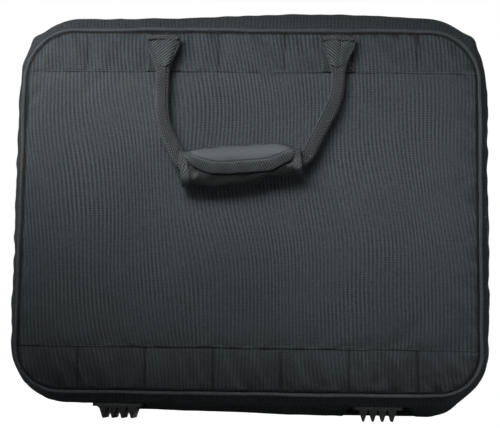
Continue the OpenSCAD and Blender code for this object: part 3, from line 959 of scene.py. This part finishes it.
ZIP_EDGE = 8 * MM  # from the zip's middle to each fabric edge


def zip_angle(distance):
    """Angle on the gusset's arc, at a distance in front of (-) or behind (+) the zip's middle."""
    return ZIP_DEG + np.degrees(distance / GUSSET_R)


def gusset_depths(y_from, y_to, count):
    """Depths across the gusset, closer together near the seam, where it turns sharply."""
    t = np.linspace(0, 1, count)
    near_seam = 0.72 * t + 0.28 * t**2.5
    return y_from + (y_to - y_from) * near_seam


def make_gusset(side):
    """The upper gusset of one half, from its piping to its edge beside the zip."""
    edge_y = GUSSET_R * math.sin(math.radians(zip_angle(side * ZIP_EDGE)))
    s = along_seam(ZIP_FOOT, 2 * HALF_SEAM - ZIP_FOOT, 3.2 * MM)
    y = gusset_depths(side * (SEAM_Y + 0.4 * MM), edge_y, 30 if side == FRONT else 14)
    ss, yy = grid(s, y)
    pts = swept(ss, gusset_off(ss, yy), yy)
    name = f"{HALF_NAME[side]}_gusset_cover"
    piece = sheet(name, pts, grid_uv(s, y), [NYLON_SIDE, LINING], flip=side == FRONT)
    # painted shade on the gusset's nylon beside the piping
    paint_shade(piece, 0.9 * (1 - smooth((SEAM_Y - np.abs(yy) - 2 * MM) / (4 * MM))))
    hang_between(piece, side, half_weight(ss, yy, side))
    thicken(piece, 1.3 * MM, 1)
    register(piece, node=f"{HALF_NAME[side]}_gusset")
    # a row of stitches holds the zip tape under the edge
    line_y = GUSSET_R * math.sin(math.radians(zip_angle(side * (ZIP_EDGE + 2.2 * MM))))
    line_s = along_seam(ZIP_FOOT + 3 * MM, 2 * HALF_SEAM - ZIP_FOOT - 3 * MM, 2 * MM)
    yy = np.full_like(line_s, line_y)
    line = swept(line_s, gusset_off(line_s, yy) + 0.2 * MM, yy)
    _, out = seam(line_s)
    thread = stitch_row(f"{HALF_NAME[side]}_zip_thread", [line], [out], THREAD)
    weigh_by_place(thread, side)


def weigh_by_place(piece, side):
    """Bends a finished piece near the gusset with the gusset's weights at each point's place."""
    x, y, z = get_points(piece.data).T
    hang_between(piece, side, half_weight(seam_distance(x, z), y, side))


def seam_distance(x, z):
    """Distance along the seam line, from the middle of the bottom, of the nearest seam point."""
    s = np.arange(0, HALF_SEAM, 1 * MM)
    place, _ = seam(s)
    nearest = np.empty(len(x))
    for start in range(0, len(x), 4000):
        part = slice(start, start + 4000)
        x_gap = np.abs(x[part])[:, None] - place[None, :, 0]
        z_gap = z[part][:, None] - place[None, :, 2]
        nearest[part] = s[(x_gap**2 + z_gap**2).argmin(1)]
    return nearest


def make_base_cover(side):
    """Half of the base's fabric: from the piping to the middle of the underside, up to the zip's foot."""
    s = along_seam(-ZIP_FOOT, ZIP_FOOT, 3 * MM)
    flat = GUSSET_Y - BASE_DROP
    turn = np.linspace(0, QUARTER, 9)
    bend = flat + BASE_DROP * np.cos(turn)
    y = side * np.concatenate([[SEAM_Y + 0.4 * MM, SEAM_Y - 1.5 * MM], bend, np.linspace(flat, 0, 11)[1:]])
    ss, yy = grid(s, y)
    pts = swept(ss, gusset_off(ss, yy), yy)
    v = np.concatenate([[0], np.cumsum(np.linalg.norm(np.diff(pts, axis=1), axis=-1).mean(0))])
    name = f"base_cover_{HALF_NAME[side]}"
    piece = sheet(name, pts, grid_uv(s, side * v), [NYLON_SIDE, LINING], flip=side == FRONT)
    hang_between(piece, side, half_weight(ss, yy, side))
    thicken(piece, 1.3 * MM, 1)
    register(piece, node="base_gusset")


def make_zip(side):
    """One tape and one row of coil."""
    name = HALF_NAME[side]
    under = 1.9 * MM
    s = along_seam(ZIP_FOOT + 1 * MM, 2 * HALF_SEAM - ZIP_FOOT - 1 * MM, 4 * MM)
    reach = np.linspace(0.9 * MM, 13 * MM, 7)
    ss, dd = grid(s, reach)
    off, y = rim_off(ss, zip_angle(side * dd), under + 0.5 * MM)
    tape = sheet(f"{name}_zip_tape_cloth", swept(ss, off, y), grid_uv(s, reach), [TAPE], flip=side == BACK)
    hang_between(tape, side, half_weight(ss, y, side))
    thicken(tape, 0.8 * MM)
    register(tape, node=f"{name}_zip_tape")
    # the coil: one slanted loop to each pitch, the two rows half a pitch apart
    pitch = 1.9 * MM
    first = ZIP_FOOT + 6 * MM + (0.5 * pitch if side == BACK else 0)
    at = np.arange(first, 2 * HALF_SEAM - ZIP_FOOT - 6 * MM, pitch)
    deg = zip_angle(side * 1.35 * MM)
    off, y = rim_off(at, deg, under - 0.6 * MM)
    places = swept(at, off, y)
    _, out = seam(at)
    rad = math.radians(deg)
    out = out * math.cos(rad)
    out[:, 1] = math.sin(rad)
    ahead, _ = seam(at + 0.5 * MM)
    behind, _ = seam(at - 0.5 * MM)
    across = unit(np.cross(unit(ahead - behind), out))
    across = across * np.sign(across[:, 1] * side)[:, None]
    # across the zip, rise and thickness, in mm, of one loop
    profile = [(-1.9, -0.4, 0.55), (-1.3, 0.25, 0.62), (0, 0.45, 0.62), (1.3, 0.3, 0.62), (1.9, -0.5, 0.5)]
    path = [(reach * MM, 0, rise * MM) for reach, rise, _ in profile]
    shape = bead_shape(path, [thick * MM for _, _, thick in profile])
    coil = beads(f"{name}_zip_teeth", places, across, out, shape, COIL)
    per_tooth = shape.shape[0] * shape.shape[1]
    hang_between(coil, side, np.repeat(half_weight(at, y, side), per_tooth))
    register(coil, node=f"{name}_zip_coil")


# ---- Inside ----


def make_inside(side):
    """Lining sheet and the bound raw edge."""
    name = HALF_NAME[side]
    x, z = panel_rows()
    x = x[::2, ::2] * 0.985
    z = MIDDLE_Z + (z[::2, ::2] - MIDDLE_Z) * 0.982
    ripple = 0.35 * MM * wobble(x, z, 40 * MM, 60) + 0.25 * MM * creases(x, z, 30 * MM, 61)
    y = side * (LINING_Y - 0.15 * MM - ripple - 0.35 * MM)
    pts, uv = np.stack([x, y, z], -1), np.stack([x, z], -1)
    lining = sheet(f"{name}_lining_cloth", pts, uv, [LINING], flip=side == BACK)
    thicken(lining, 0.5 * MM)
    register(lining, HALF_BODY[side], f"{name}_lining")
    ss, aa = rim_grid(3 * MM, 10)
    half_thick = 0.9 * MM + 0.12 * MM * wobble(ss, 0 * ss, 8 * MM, 70)
    y = side * (LINING_Y - 1.0 * MM + half_thick * np.sin(aa))
    pts = swept(ss, -5.6 * MM + 2.6 * MM * np.cos(aa), y)
    binding = rim_tube(f"{name}_seam_tape", ss, pts, 12 * MM, BINDING)
    register(binding, HALF_BODY[side], f"{name}_seam_binding")


def make_loop_band(node, sewn_high):
    """Elastic band on the front lining, standing out in loops between its tacks."""
    low_end, high_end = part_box(node)
    z = np.linspace(low_end.z + 1 * MM, high_end.z - 1 * MM, 14)
    reach = HALF_W - 42 * MM
    x = np.linspace(-reach, reach, 220)
    xx, zz = grid(x, z)
    gap = np.abs(xx[..., None] - np.array(TACK_X)).min(-1)
    puff = smooth(gap / (20 * MM)) * np.where(np.abs(xx) < TACK_X[-1], 1.0, 0.3)
    rise = (zz - z[0]) / (z[-1] - z[0])
    open_edge = 1 - rise if sewn_high else rise
    loops = 4.5 * MM * puff * (0.25 + 0.75 * open_edge)
    y = -(LINING_Y - 1.6 * MM) + loops + 0.2 * MM * wobble(xx, zz, 9 * MM, 81)
    piece = sheet(f"{node}_cloth", np.stack([xx, y, zz], -1), np.stack([xx, zz], -1), [BINDING])
    thicken(piece, 1.0 * MM, offset=0.0)
    register(piece, "front_half", node)


def make_base_lining():
    """Lining over the base's board, sewn down near its edge."""
    low_end, high_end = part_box("base_lining")
    x = np.linspace(low_end.x, high_end.x, 140)
    y = np.linspace(low_end.y, high_end.y, 30)
    xx, yy = grid(x, y)
    edge = np.minimum(high_end.x - np.abs(xx), high_end.y - np.abs(yy))
    z = high_end.z + 0.35 * MM * wobble(xx, yy, 25 * MM, 84) - 0.4 * MM * dip(edge - 4 * MM, 1.5 * MM)
    piece = sheet("base_lining_cloth", np.stack([xx, yy, z], -1), np.stack([xx, yy], -1), [LINING])
    thicken(piece, 0.6 * MM)
    register(piece, "base", "base_lining")


# ---- Handles ----

swing = {j["name"]: j for j in frame["joints"]}
patch_low, patch_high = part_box("front_patches")
STRAP_W = 38 * MM
ANCHOR_X = patch_high.x - STRAP_W / 2
HANDLE_DROP = 148 * MM
GRIP_X = -9 * MM
GRIP_TILT = math.radians(4.4)
CONE = 36 * MM
HANG_DEG = {FRONT: 2.6, BACK: 6.7}


def hung(points, side):
    """From a handle's own plane (x, outward, up from its fold) to the shared frame."""
    pos = swing[f"{HALF_NAME[side]}_handle_swing"]["pos_m"]
    a = math.radians(HANG_DEG[side])
    p = np.asarray(points, float)
    outward = p[..., 1] * math.cos(a) - p[..., 2] * math.sin(a)
    up = p[..., 1] * math.sin(a) + p[..., 2] * math.cos(a)
    return np.stack([p[..., 0], pos[1] + side * outward, pos[2] + up], -1)


def grip_point(distance):
    """Place (x, up) on the grip's middle line, at a distance right of its middle."""
    return (GRIP_X + distance * math.cos(GRIP_TILT), -HANDLE_DROP + distance * math.sin(GRIP_TILT))


def filleted(corners, radii, step):
    """A path through corners with a bend of the stated radius at each: places and directions."""
    corners = [np.array(c, float) for c in corners]
    path = []
    here = corners[0]
    for k in range(1, len(corners)):
        before = unit(corners[k] - corners[k - 1])
        if k == len(corners) - 1:
            end = corners[k]
            setback = 0
        else:
            after = unit(corners[k + 1] - corners[k])
            turn = math.atan2(before[0] * after[1] - before[1] * after[0], before @ after)
            setback = radii[k] * math.tan(abs(turn) / 2)
            end = corners[k] - before * setback
        count = max(2, int(np.linalg.norm(end - here) / step) + 1)
        path += [here + (end - here) * t for t in np.linspace(0, 1, count)[:-1]]
        if k == len(corners) - 1:
            path.append(end)
            break
        side = math.copysign(1, turn)
        normal = np.array([-before[1], before[0]]) * side
        centre = end + normal * radii[k]
        count = max(2, int(abs(turn) * radii[k] / step) + 1)
        for t in np.linspace(0, turn, count)[:-1]:
            c, n = math.cos(t), math.sin(t)
            r = end - centre
            path.append(centre + np.array([r[0] * c - r[1] * n, r[0] * n + r[1] * c]))
        here = corners[k] + after * setback
    return np.array(path)


def handle_path():
    """The handle's middle line in its own plane: down, across the slightly tilted grip, and up."""
    corners = [
        (-ANCHOR_X, -1 * MM),
        (-ANCHOR_X, -0.65 * HANDLE_DROP),
        grip_point(-65.5 * MM),
        grip_point(72 * MM),
        (ANCHOR_X, -0.44 * HANDLE_DROP),
        (ANCHOR_X, -1 * MM),
    ]
    return filleted(corners, [0, 80 * MM, 28 * MM, 28 * MM, 80 * MM, 0], 2.4 * MM)


def strap_section(down, sides):
    """Section of the webbing at a distance down from its fold: flat and wide, then rolled."""
    a = around(sides)
    rolled = smooth(np.minimum(down, CONE + 2 * MM) / (CONE + 2 * MM))[:, None]

    def between(at_fold, in_roll):
        return at_fold * (1 - rolled) + in_roll * rolled

    half_w = between(STRAP_W / 2, 8.0 * MM)
    half_t = between(2.6 * MM, 6.2 * MM)
    square = between(0.35, 0.85)  # 0 is a sharp box and 1 an ellipse
    c, n = np.cos(a)[None], np.sin(a)[None]
    across = half_w * np.sign(c) * np.abs(c) ** square
    out = half_t * np.sign(n) * np.abs(n) ** square
    # the rolled webbing's free edge leaves a groove on the front, and another behind
    groove = dip(a[None] - 0.30 * math.pi, 0.11) + dip(a[None] - 1.5 * math.pi, 0.15)
    shrink = 1 - 0.30 * groove * smooth((down[:, None] - 0.6 * CONE) / (0.5 * CONE))
    return np.stack([across * shrink, out * shrink], -1)


def make_handle(side):
    """The webbing: two flat ends that roll up into one round handle."""
    flat = handle_path()
    step = np.linalg.norm(np.diff(flat, axis=0), axis=1)
    length = np.concatenate([[0], np.cumsum(step)])
    down = np.minimum(length, length[-1] - length)
    along = unit(np.gradient(flat, axis=0))
    centres = np.stack([flat[:, 0], 0 * down, flat[:, 1]], -1)
    across = np.stack([-along[:, 1], 0 * down, along[:, 0]], -1)
    outward = np.tile([0.0, 1.0, 0.0], (len(flat), 1))
    sides = 72
    section = strap_section(down, sides)
    ridge = 0.3 * MM * wobble(length[:, None], 1.5 * MM * np.arange(sides)[None], 14 * MM, 90)
    section = section * (1 + ridge[..., None] / (8 * MM))
    piece = tube(f"{HALF_NAME[side]}_handle_webbing", centres, across, outward, section, [WEBBING])
    set_points(piece.data, hung(get_points(piece.data), side))
    weld(piece)
    subdivide(piece)
    register(piece, f"{HALF_NAME[side]}_handle", f"{HALF_NAME[side]}_handle")
    make_folded_edges(side)
    make_strap_bend(side)
    make_patches(side)


def make_folded_edges(side):
    """The strap's edges, folded in over each other below its fold: the one nearer the middle of the case
    makes a wide pointed lapel on top, the other a narrow one beneath it."""
    parts = []
    for anchor, mirror in ((-ANCHOR_X, 1), (ANCHOR_X, -1)):
        # edges of each lapel at its top and at its foot, then its height above the webbing, in mm
        for top_outer, top_inner, foot_outer, foot_inner, lift in (
            (-18.6, 1.0, -7.5, 2.4, 3.4),
            (18.8, -2.5, 8.6, 0.8, 4.6),
        ):
            t = np.linspace(0, 1, 20)[:, None]
            k = np.linspace(0, 1, 14)[None, :]
            outer = top_outer * (1 - t) ** 1.2 + foot_outer * (1 - (1 - t) ** 1.2)
            inner = top_inner * (1 - t) + foot_inner * t
            x = mirror * (outer * (1 - k) + inner * k) * MM
            z = -0.4 * MM - (CONE - 3 * MM) * (t - 0.10 * t * (1 - k)) * np.ones_like(k)
            crown = lift + 2.6 * t + 1.1 * np.sin(math.pi * k**0.7) * (1 - 0.5 * t)
            crown = crown - 2.4 * (1 - k) ** 3 - 1.2 * (1 - t) ** 6
            crown = crown * MM + 0.25 * MM * wobble(x, z, 7 * MM, 91)
            pts = np.stack([anchor + x, crown, z], -1)
            uv = np.stack([0.8 * x * mirror - z, 0.0 * x + 4 * MM], -1)
            forward = (top_outer < top_inner) == (mirror > 0)
            part = sheet("fold", hung(pts, side), uv, [WEBBING], flip=forward == (side == BACK))
            thicken(part, 1.5 * MM)
            parts.append(realise(part))
    piece = join(f"{HALF_NAME[side]}_strap_folds", parts)
    register(piece, f"{HALF_NAME[side]}_handle")


def make_strap_bend(side):
    """The webbing from each patch, up and over the fold, which turns with the handle."""
    pos = Vector(swing[f"{HALF_NAME[side]}_handle_swing"]["pos_m"])
    r = 4.6 * MM
    turn = np.linspace(-0.5, math.pi + 0.25, 20)
    parts = []
    for anchor in (-ANCHOR_X, ANCHOR_X):
        k = np.linspace(-0.5, 0.5, 12) * (STRAP_W - 1 * MM)
        tt, kk = grid(turn, k)
        depth = pos.y - side * r * np.cos(tt)
        up = pos.z + r * np.sin(tt) + 0.2 * MM * wobble(kk, tt * r, 6 * MM, 95)
        pts = np.stack([anchor + kk, depth, up], -1)
        part = sheet("bend", pts, np.stack([tt * r, kk * 0.5], -1), [WEBBING], flip=side == BACK)
        thicken(part, 1.6 * MM, offset=-1.0)
        parts.append(realise(part))
    piece = join(f"{HALF_NAME[side]}_strap_bends", parts)
    inner = pos - Vector((0, side * r, 0))
    outer = pos + Vector((0, side * r, 0))
    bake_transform(piece, HALF_BODY[side], f"{HALF_NAME[side]}_handle", start=inner, end=outer)


def make_patches(side):
    """Sewn-down end of each strap, with a stitched box and cross."""
    parts, lines, normals = [], [], []
    z0, z1 = patch_low.z, patch_high.z

    def face(x, z):
        edge = np.minimum(STRAP_W / 2 - np.abs(np.abs(x) - ANCHOR_X), np.minimum(z - z0, z1 - z))
        lift = 1.9 * MM - 1.1 * MM * np.exp(-edge / (1.0 * MM)) - 0.5 * MM * dip(edge - 3.2 * MM, 1.2 * MM)
        return side * (SEAM_Y + panel_height(x, z) + lift + 0.15 * MM * wobble(x, z, 8 * MM, 97))

    for anchor in (-ANCHOR_X, ANCHOR_X):
        x = np.linspace(anchor - STRAP_W / 2, anchor + STRAP_W / 2, 28)
        z = np.linspace(z0, z1, 28)
        xx, zz = grid(x, z)
        pts = np.stack([xx, face(xx, zz), zz], -1)
        uv = np.stack([zz, xx - anchor + 9.5 * MM], -1)
        part = sheet("patch", pts, uv, [WEBBING], flip=side == BACK)
        thicken(part, 1.8 * MM)
        parts.append(realise(part))
        inner_w, a, b = STRAP_W / 2 - 3.2 * MM, z0 + 3.2 * MM, z1 - 9 * MM
        corners = [(-inner_w, a), (inner_w, a), (inner_w, b), (-inner_w, b), (-inner_w, a)]
        for start, end in [*zip(corners, corners[1:]), (corners[0], corners[2]), (corners[1], corners[3])]:
            t = np.linspace(0, 1, 16)
            line_x = anchor + start[0] + (end[0] - start[0]) * t
            line_z = start[1] + (end[1] - start[1]) * t
            lines.append(np.stack([line_x, face(line_x, line_z) + side * 0.2 * MM, line_z], -1))
            normals.append(outward_normals(side, len(t)))
    piece = join(f"{HALF_NAME[side]}_patch_webbing", parts)
    register(piece, HALF_BODY[side], f"{HALF_NAME[side]}_patches")
    name = f"{HALF_NAME[side]}_patch_thread"
    thread = stitch_row(name, lines, normals, THREAD, pitch=3 * MM, length=2.3 * MM)
    register(thread, HALF_BODY[side])


# ---- Grip wrap ----
# Its own frame: distance along the grip, outward from the panel, and up.

WRAP_HALF = 69 * MM
WRAP_R = 13 * MM
RISE = 8 * MM


def on_grip(along, outward, up):
    c, n = math.cos(GRIP_TILT), math.sin(GRIP_TILT)
    x = GRIP_X + along * c - up * n
    z = -HANDLE_DROP + along * n + up * c
    return hung(np.stack([x, outward + 0 * x, z], -1), FRONT)


def sleeve_section(along, angle, grow=0.0):
    """Outward and up on the sleeve's surface: a soft roll that is deepest left of its middle and
    shallow at its right end, so that it hangs a little askew."""
    top = 20.6 * MM - 7.5 * MM * smooth((along - 40 * MM) / (30 * MM))
    low_end = -21.5 * MM + 4.5 * MM * smooth((-along - 30 * MM) / (38 * MM))
    low_end = low_end + 10.5 * MM * np.clip((along + 22 * MM) / (88 * MM), 0, 1) ** 1.4
    half_w = 12.2 * MM + grow
    half_h = (top - low_end) / 2 + grow
    c, n = np.cos(angle), np.sin(angle)
    out = half_w * np.sign(c) * np.abs(c) ** 0.72
    up = (top + low_end) / 2 + half_h * np.sign(n) * np.abs(n) ** 0.72
    return out, up


TAPE_HALF = WRAP_HALF - 21 * MM  # half the length of the hook and loop tapes


def make_sleeve():
    """The padded sleeve inside the wrap, blown up by its padding between its bound ends."""
    along = np.linspace(-WRAP_HALF + 3 * MM, WRAP_HALF - 3 * MM, 66)
    a = around(48)
    ll, aa = grid(along, a)
    lumps = 0.5 * MM * wobble(ll, aa * WRAP_R, 15 * MM, 110)
    out, up = sleeve_section(ll, aa, lumps)
    uv = grid_uv(along, np.linspace(0, 105 * MM, len(a) + 1))
    piece = sheet("grip_sleeve_cover", on_grip(ll, out, up), uv, [SMOOTH], wrap=True)
    close_ends(piece.data, len(along), len(a))
    held = np.zeros(ll.shape, bool)
    held[:2] = held[-2:] = True
    held |= (np.cos(aa) > 0.9) & (np.abs(ll) < TAPE_HALF)
    cloth_relax(piece, held.ravel(), 16, 3.0, 1.4 * MM, 0.02)
    subdivide(piece)
    register(piece, "front_handle", "grip_sleeve")


def make_sleeve_ends():
    """Broad bound edges round both ends of the sleeve."""
    parts = []
    for hand in (-1, 1):
        a = np.linspace(0, math.tau, 61)
        ring = around(16)
        aa, rr = grid(a, ring)
        place = hand * (WRAP_HALF - 4.5 * MM)
        lumps = wobble(np.cos(aa) * WRAP_R, np.sin(aa) * WRAP_R, 7 * MM, 120)
        thick = 1.3 * MM * np.sin(rr) + 0.35 * MM * lumps
        out, up = sleeve_section(place + 0 * aa, aa, thick + 0.2 * MM)
        along = place + 5.0 * MM * np.cos(rr) + 0.6 * MM * wobble(up, out, 9 * MM, 121)
        uv = grid_uv(np.linspace(0, 105 * MM, len(a)), np.linspace(0, 24 * MM, len(ring) + 1))
        part = sheet("sleeve_end", on_grip(along, out, up), uv, [BINDING], wrap=True)
        weld(part)
        parts.append(part)
    piece = join("grip_end_bindings", parts)
    subdivide(piece)
    register(piece, "front_handle", "grip_sleeve_binding")


FOLD_DEG = 36  # the flap's fold, above the back of the wrap's rounded top


def flap_middle(along):
    """Height of the centre of the wrap's rounded top."""
    right_drop = 7.0 * MM * smooth((along - 40 * MM) / (30 * MM))
    left_drop = 1.5 * MM * smooth((-along - 48 * MM) / (20 * MM))
    return RISE - right_drop - left_drop


def flap_edge(along, r):
    """How far the flap reaches round the wrap from its fold: a curve like a smile, lowest in the middle."""
    far = np.abs(along - 2 * MM)
    edge = -7 * MM + 12 * MM * smooth((far - 20 * MM) / (46 * MM)) ** 1.3
    edge = edge + 12 * MM * smooth((far - 54 * MM) / (14 * MM))
    return r * math.radians(180 - FOLD_DEG) + flap_middle(along) - edge


def flap_point(along, reach, r):
    """A point over the wrap: its distance round from the fold, and r from its rounded top's middle."""
    turn = math.radians(FOLD_DEG) + reach / r
    over = np.clip(turn - math.pi, 0, None)
    turn = np.minimum(turn, math.pi)
    return on_grip(along, -r * np.cos(turn), flap_middle(along) + r * np.sin(turn) - over * r)


def fold_over(piece, reach):
    """The flap's first strip stays with the handle, and the rest turns a little less than the hinge,
    as a stiff fold does. This keeps it off the sleeve and the panel."""
    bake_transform(piece, "front_handle", "grip_flap", start=(0, 0, 0), end=(0, 0, 1))
    bend_by(piece, 0.88 * smooth(reach / (14 * MM)))


def make_flap():
    """The wrap's flap: a padded leaf over the top and down the front, gathered along its bound edge."""
    along = np.linspace(-WRAP_HALF + 1 * MM, WRAP_HALF - 1 * MM, 100)
    k = np.linspace(0, 1, 40)
    aa, kk = grid(along, k)
    base_r = WRAP_R + 2.2 * MM
    reach = flap_edge(aa, base_r) * kk
    pad = 1.5 * MM * np.sin(math.pi * kk**1.2) * (1 - (np.abs(aa) / WRAP_HALF) ** 4)
    gathers = 0.5 * MM * (creases(aa, 0.2 * reach, 12 * MM, 131) - 0.6) * np.sin(math.pi * kk)
    uv = np.stack([aa, reach], -1)
    points = flap_point(aa, reach, base_r + pad + gathers)
    piece = sheet("grip_flap_cloth", points, uv, [LIT_FLAP_CLOTH, LINING], flip=True)
    fold_over(piece, reach)
    thicken(piece, 1.4 * MM, 1)
    register(piece, node="grip_flap")
    lower, low_reach = flap_tape(flap_edge(TAPE_LINE, base_r) - 3.2 * MM, 4.0 * MM, 1.9 * MM, 133, BINDING)
    high_line = np.minimum(1.5 * base_r, flap_edge(TAPE_LINE, base_r) - 7 * MM)
    upper, high_reach = flap_tape(high_line, 2.1 * MM, 1.3 * MM, 134, SMOOTH)
    tape = join("flap_binding_tape", [lower, upper])
    fold_over(tape, np.concatenate([low_reach, high_reach]))
    subdivide(tape)
    register(tape, node="grip_flap_binding")
    row = np.linspace(-WRAP_HALF + 9 * MM, WRAP_HALF - 9 * MM, 80)
    inset = flap_edge(row, base_r) - 9.2 * MM
    thread_line = flap_point(row, inset, base_r + 1.2 * MM)
    normals = unit(flap_point(row, inset, base_r + 4 * MM) - thread_line)
    thread = stitch_row("flap_thread", [thread_line], [normals], THREAD, 3.4 * MM, 2.2 * MM, 0.6 * MM)
    fold_over(thread, np.full(len(thread.data.vertices), base_r))


def make_grip_tapes():
    """Hook tape on the sleeve's front, and loop tape inside the flap over it."""
    along = np.linspace(-TAPE_HALF, TAPE_HALF, 110)
    angle = np.linspace(-0.02, 0.36, 22)
    ll, aa = grid(along, angle)
    fuzz = 0.12 * MM * np.sin(ll / (0.9 * MM) * math.pi) * np.sin(aa / 0.03 * math.pi)
    out, up = sleeve_section(ll, aa, 0.7 * MM + fuzz)
    hook = sheet("grip_hook_strip", on_grip(ll, out, up), np.stack([ll, up], -1), [HOOKS])
    thicken(hook, 0.6 * MM)
    register(hook, "front_handle", "grip_hook_tape")
    out = WRAP_R + 0.75 * MM - 0.1 * MM * wobble(ll, up, 2 * MM, 141)
    up = np.linspace(-3.5 * MM, 8.5 * MM, 22)[None] + 0 * ll
    loop = sheet("grip_loop_strip", on_grip(ll, out, up), np.stack([ll, up], -1), [HOOKS])
    thicken(loop, 0.5 * MM)
    fold_over(loop, np.full(len(loop.data.vertices), WRAP_R + 2 * MM))
    register(loop, node="grip_loop_tape")


TAPE_LINE = np.linspace(-WRAP_HALF + 0.5 * MM, WRAP_HALF - 0.5 * MM, 120)


def flap_tape(reach, half_width, half_thick, seed, material):
    """A flattened roll of tape at a distance round the flap for each point of TAPE_LINE, narrower at
    its ends, and the distance round the flap of each of its points."""
    ring = around(16)
    ll, rr = grid(TAPE_LINE, ring)
    ends = 1 - 0.45 * (np.abs(ll) / WRAP_HALF) ** 8
    lift = WRAP_R + 2.4 * MM + half_thick * ends * np.sin(rr) + 0.2 * MM * wobble(ll, 0 * rr, 9 * MM, seed)
    place = reach[:, None] + half_width * ends * np.cos(rr)
    uv = grid_uv(TAPE_LINE, np.linspace(0, 20 * MM, len(ring) + 1))
    tape = sheet("tape", flap_point(ll, place, lift), uv, [material], wrap=True)
    close_ends(tape.data, len(TAPE_LINE), len(ring))
    return tape, place.ravel()


# ---- Room, light and camera ----


def make_stage():
    """A wide floor that glows for the camera alone, so that it looks white and lights nothing."""
    n = Nodes("pale_floor")
    n.finish(tint(0.2, 0.2, 0.2), 0.8, specular=0.0)
    seen = n.add("LightPath").outputs["Is Camera Ray"]
    n.shader.inputs["Emission Color"].default_value = tint(1, 1, 1)
    n.put(seen, n.shader.inputs["Emission Strength"])
    reach = np.linspace(-9, 9, 7)
    xx, yy = grid(reach, reach)
    floor = sheet("floor", np.stack([xx, yy, 0 * xx], -1), grid_uv(reach, reach), [n.material])


def area_light(name, place, aim, size, power, spread=180):
    """A lamp hidden from the camera. Its power is in watts, its beam's spread in degrees."""
    light = bpy.data.lights.new(name, "AREA")
    light.shape = "RECTANGLE"
    light.size, light.size_y = size
    light.energy = power
    light.spread = math.radians(spread)
    lamp = bpy.data.objects.new(name, light)
    bpy.context.scene.collection.objects.link(lamp)
    lamp.visible_camera = False
    lamp.location = place
    lamp.rotation_euler = (Vector(aim) - Vector(place)).to_track_quat("-Z", "Y").to_euler()


def make_light():
    """Surroundings that are white to the camera and dim as light, and five soft lamps."""
    world = bpy.data.worlds.new("studio")
    bpy.context.scene.world = world
    world.use_nodes = True
    tree = world.node_tree
    to_camera = tree.nodes.new("ShaderNodeLightPath").outputs["Is Camera Ray"]
    glow = tree.nodes.new("ShaderNodeMapRange")
    glow.inputs["To Min"].default_value = 0.03
    glow.inputs["To Max"].default_value = 1.0
    tree.links.new(to_camera, glow.inputs["Value"])
    tree.links.new(glow.outputs[0], tree.nodes["Background"].inputs["Strength"])
    tree.nodes["Background"].inputs["Color"].default_value = (1, 1, 1, 1)
    key_place, key_aim = (-0.36, -0.43, 0.64), (-0.19, -0.05, 0.38)
    area_light("key", key_place, aim=key_aim, size=(1.15, 0.2), power=1.78, spread=58)
    area_light("back", (0.2, 1.9, 0.35), aim=(0, 0, 0.25), size=(1.2, 0.6), power=22)
    area_light("left", (-1.3, -0.3, 0.55), aim=(0, 0, 0.25), size=(0.6, 0.6), power=2.5)
    area_light("right", (1.3, -0.32, 0.35), aim=(0, 0, 0.2), size=(0.6, 0.6), power=3.0)
    area_light("off_floor", (0, -0.17, 0.003), aim=(0, -0.12, 0.1), size=(0.56, 0.1), power=0.17)


def make_camera():
    """A long lens, low and a little to the right, and turned a little about its own axis."""
    camera = bpy.data.cameras.new("camera")
    camera.sensor_width = 36
    distance = 2.15
    seen_width = 575 * MM
    camera.lens = camera.sensor_width * distance / seen_width
    aim = Vector((1 * MM, -SEAM_Y, 236 * MM))
    turn, lift, roll = math.radians(2.6), math.radians(-5.0), math.radians(0.8)
    away = Vector((math.sin(turn) * math.cos(lift), -math.cos(turn) * math.cos(lift), math.sin(lift)))
    eye = bpy.data.objects.new("camera", camera)
    bpy.context.scene.collection.objects.link(eye)
    eye.location = aim + away * distance
    look = (-away).to_track_quat("-Z", "Y").to_matrix()
    eye.rotation_euler = (look @ Matrix.Rotation(roll, 3, "Z")).to_euler()
    bpy.context.scene.camera = eye
    bpy.context.scene.view_settings.view_transform = "Standard"


# ---- Build ----

dress_cad_nodes()
make_panels()
for half in (FRONT, BACK):
    make_piping(half)
    make_gusset(half)
    make_base_cover(half)
    make_zip(half)
    make_inside(half)
    make_handle(half)
make_loop_band("loop_band_top", True)
make_loop_band("loop_band_bottom", False)
make_base_lining()
make_sleeve()
make_sleeve_ends()
make_flap()
make_grip_tapes()
make_stage()
make_light()
make_camera()
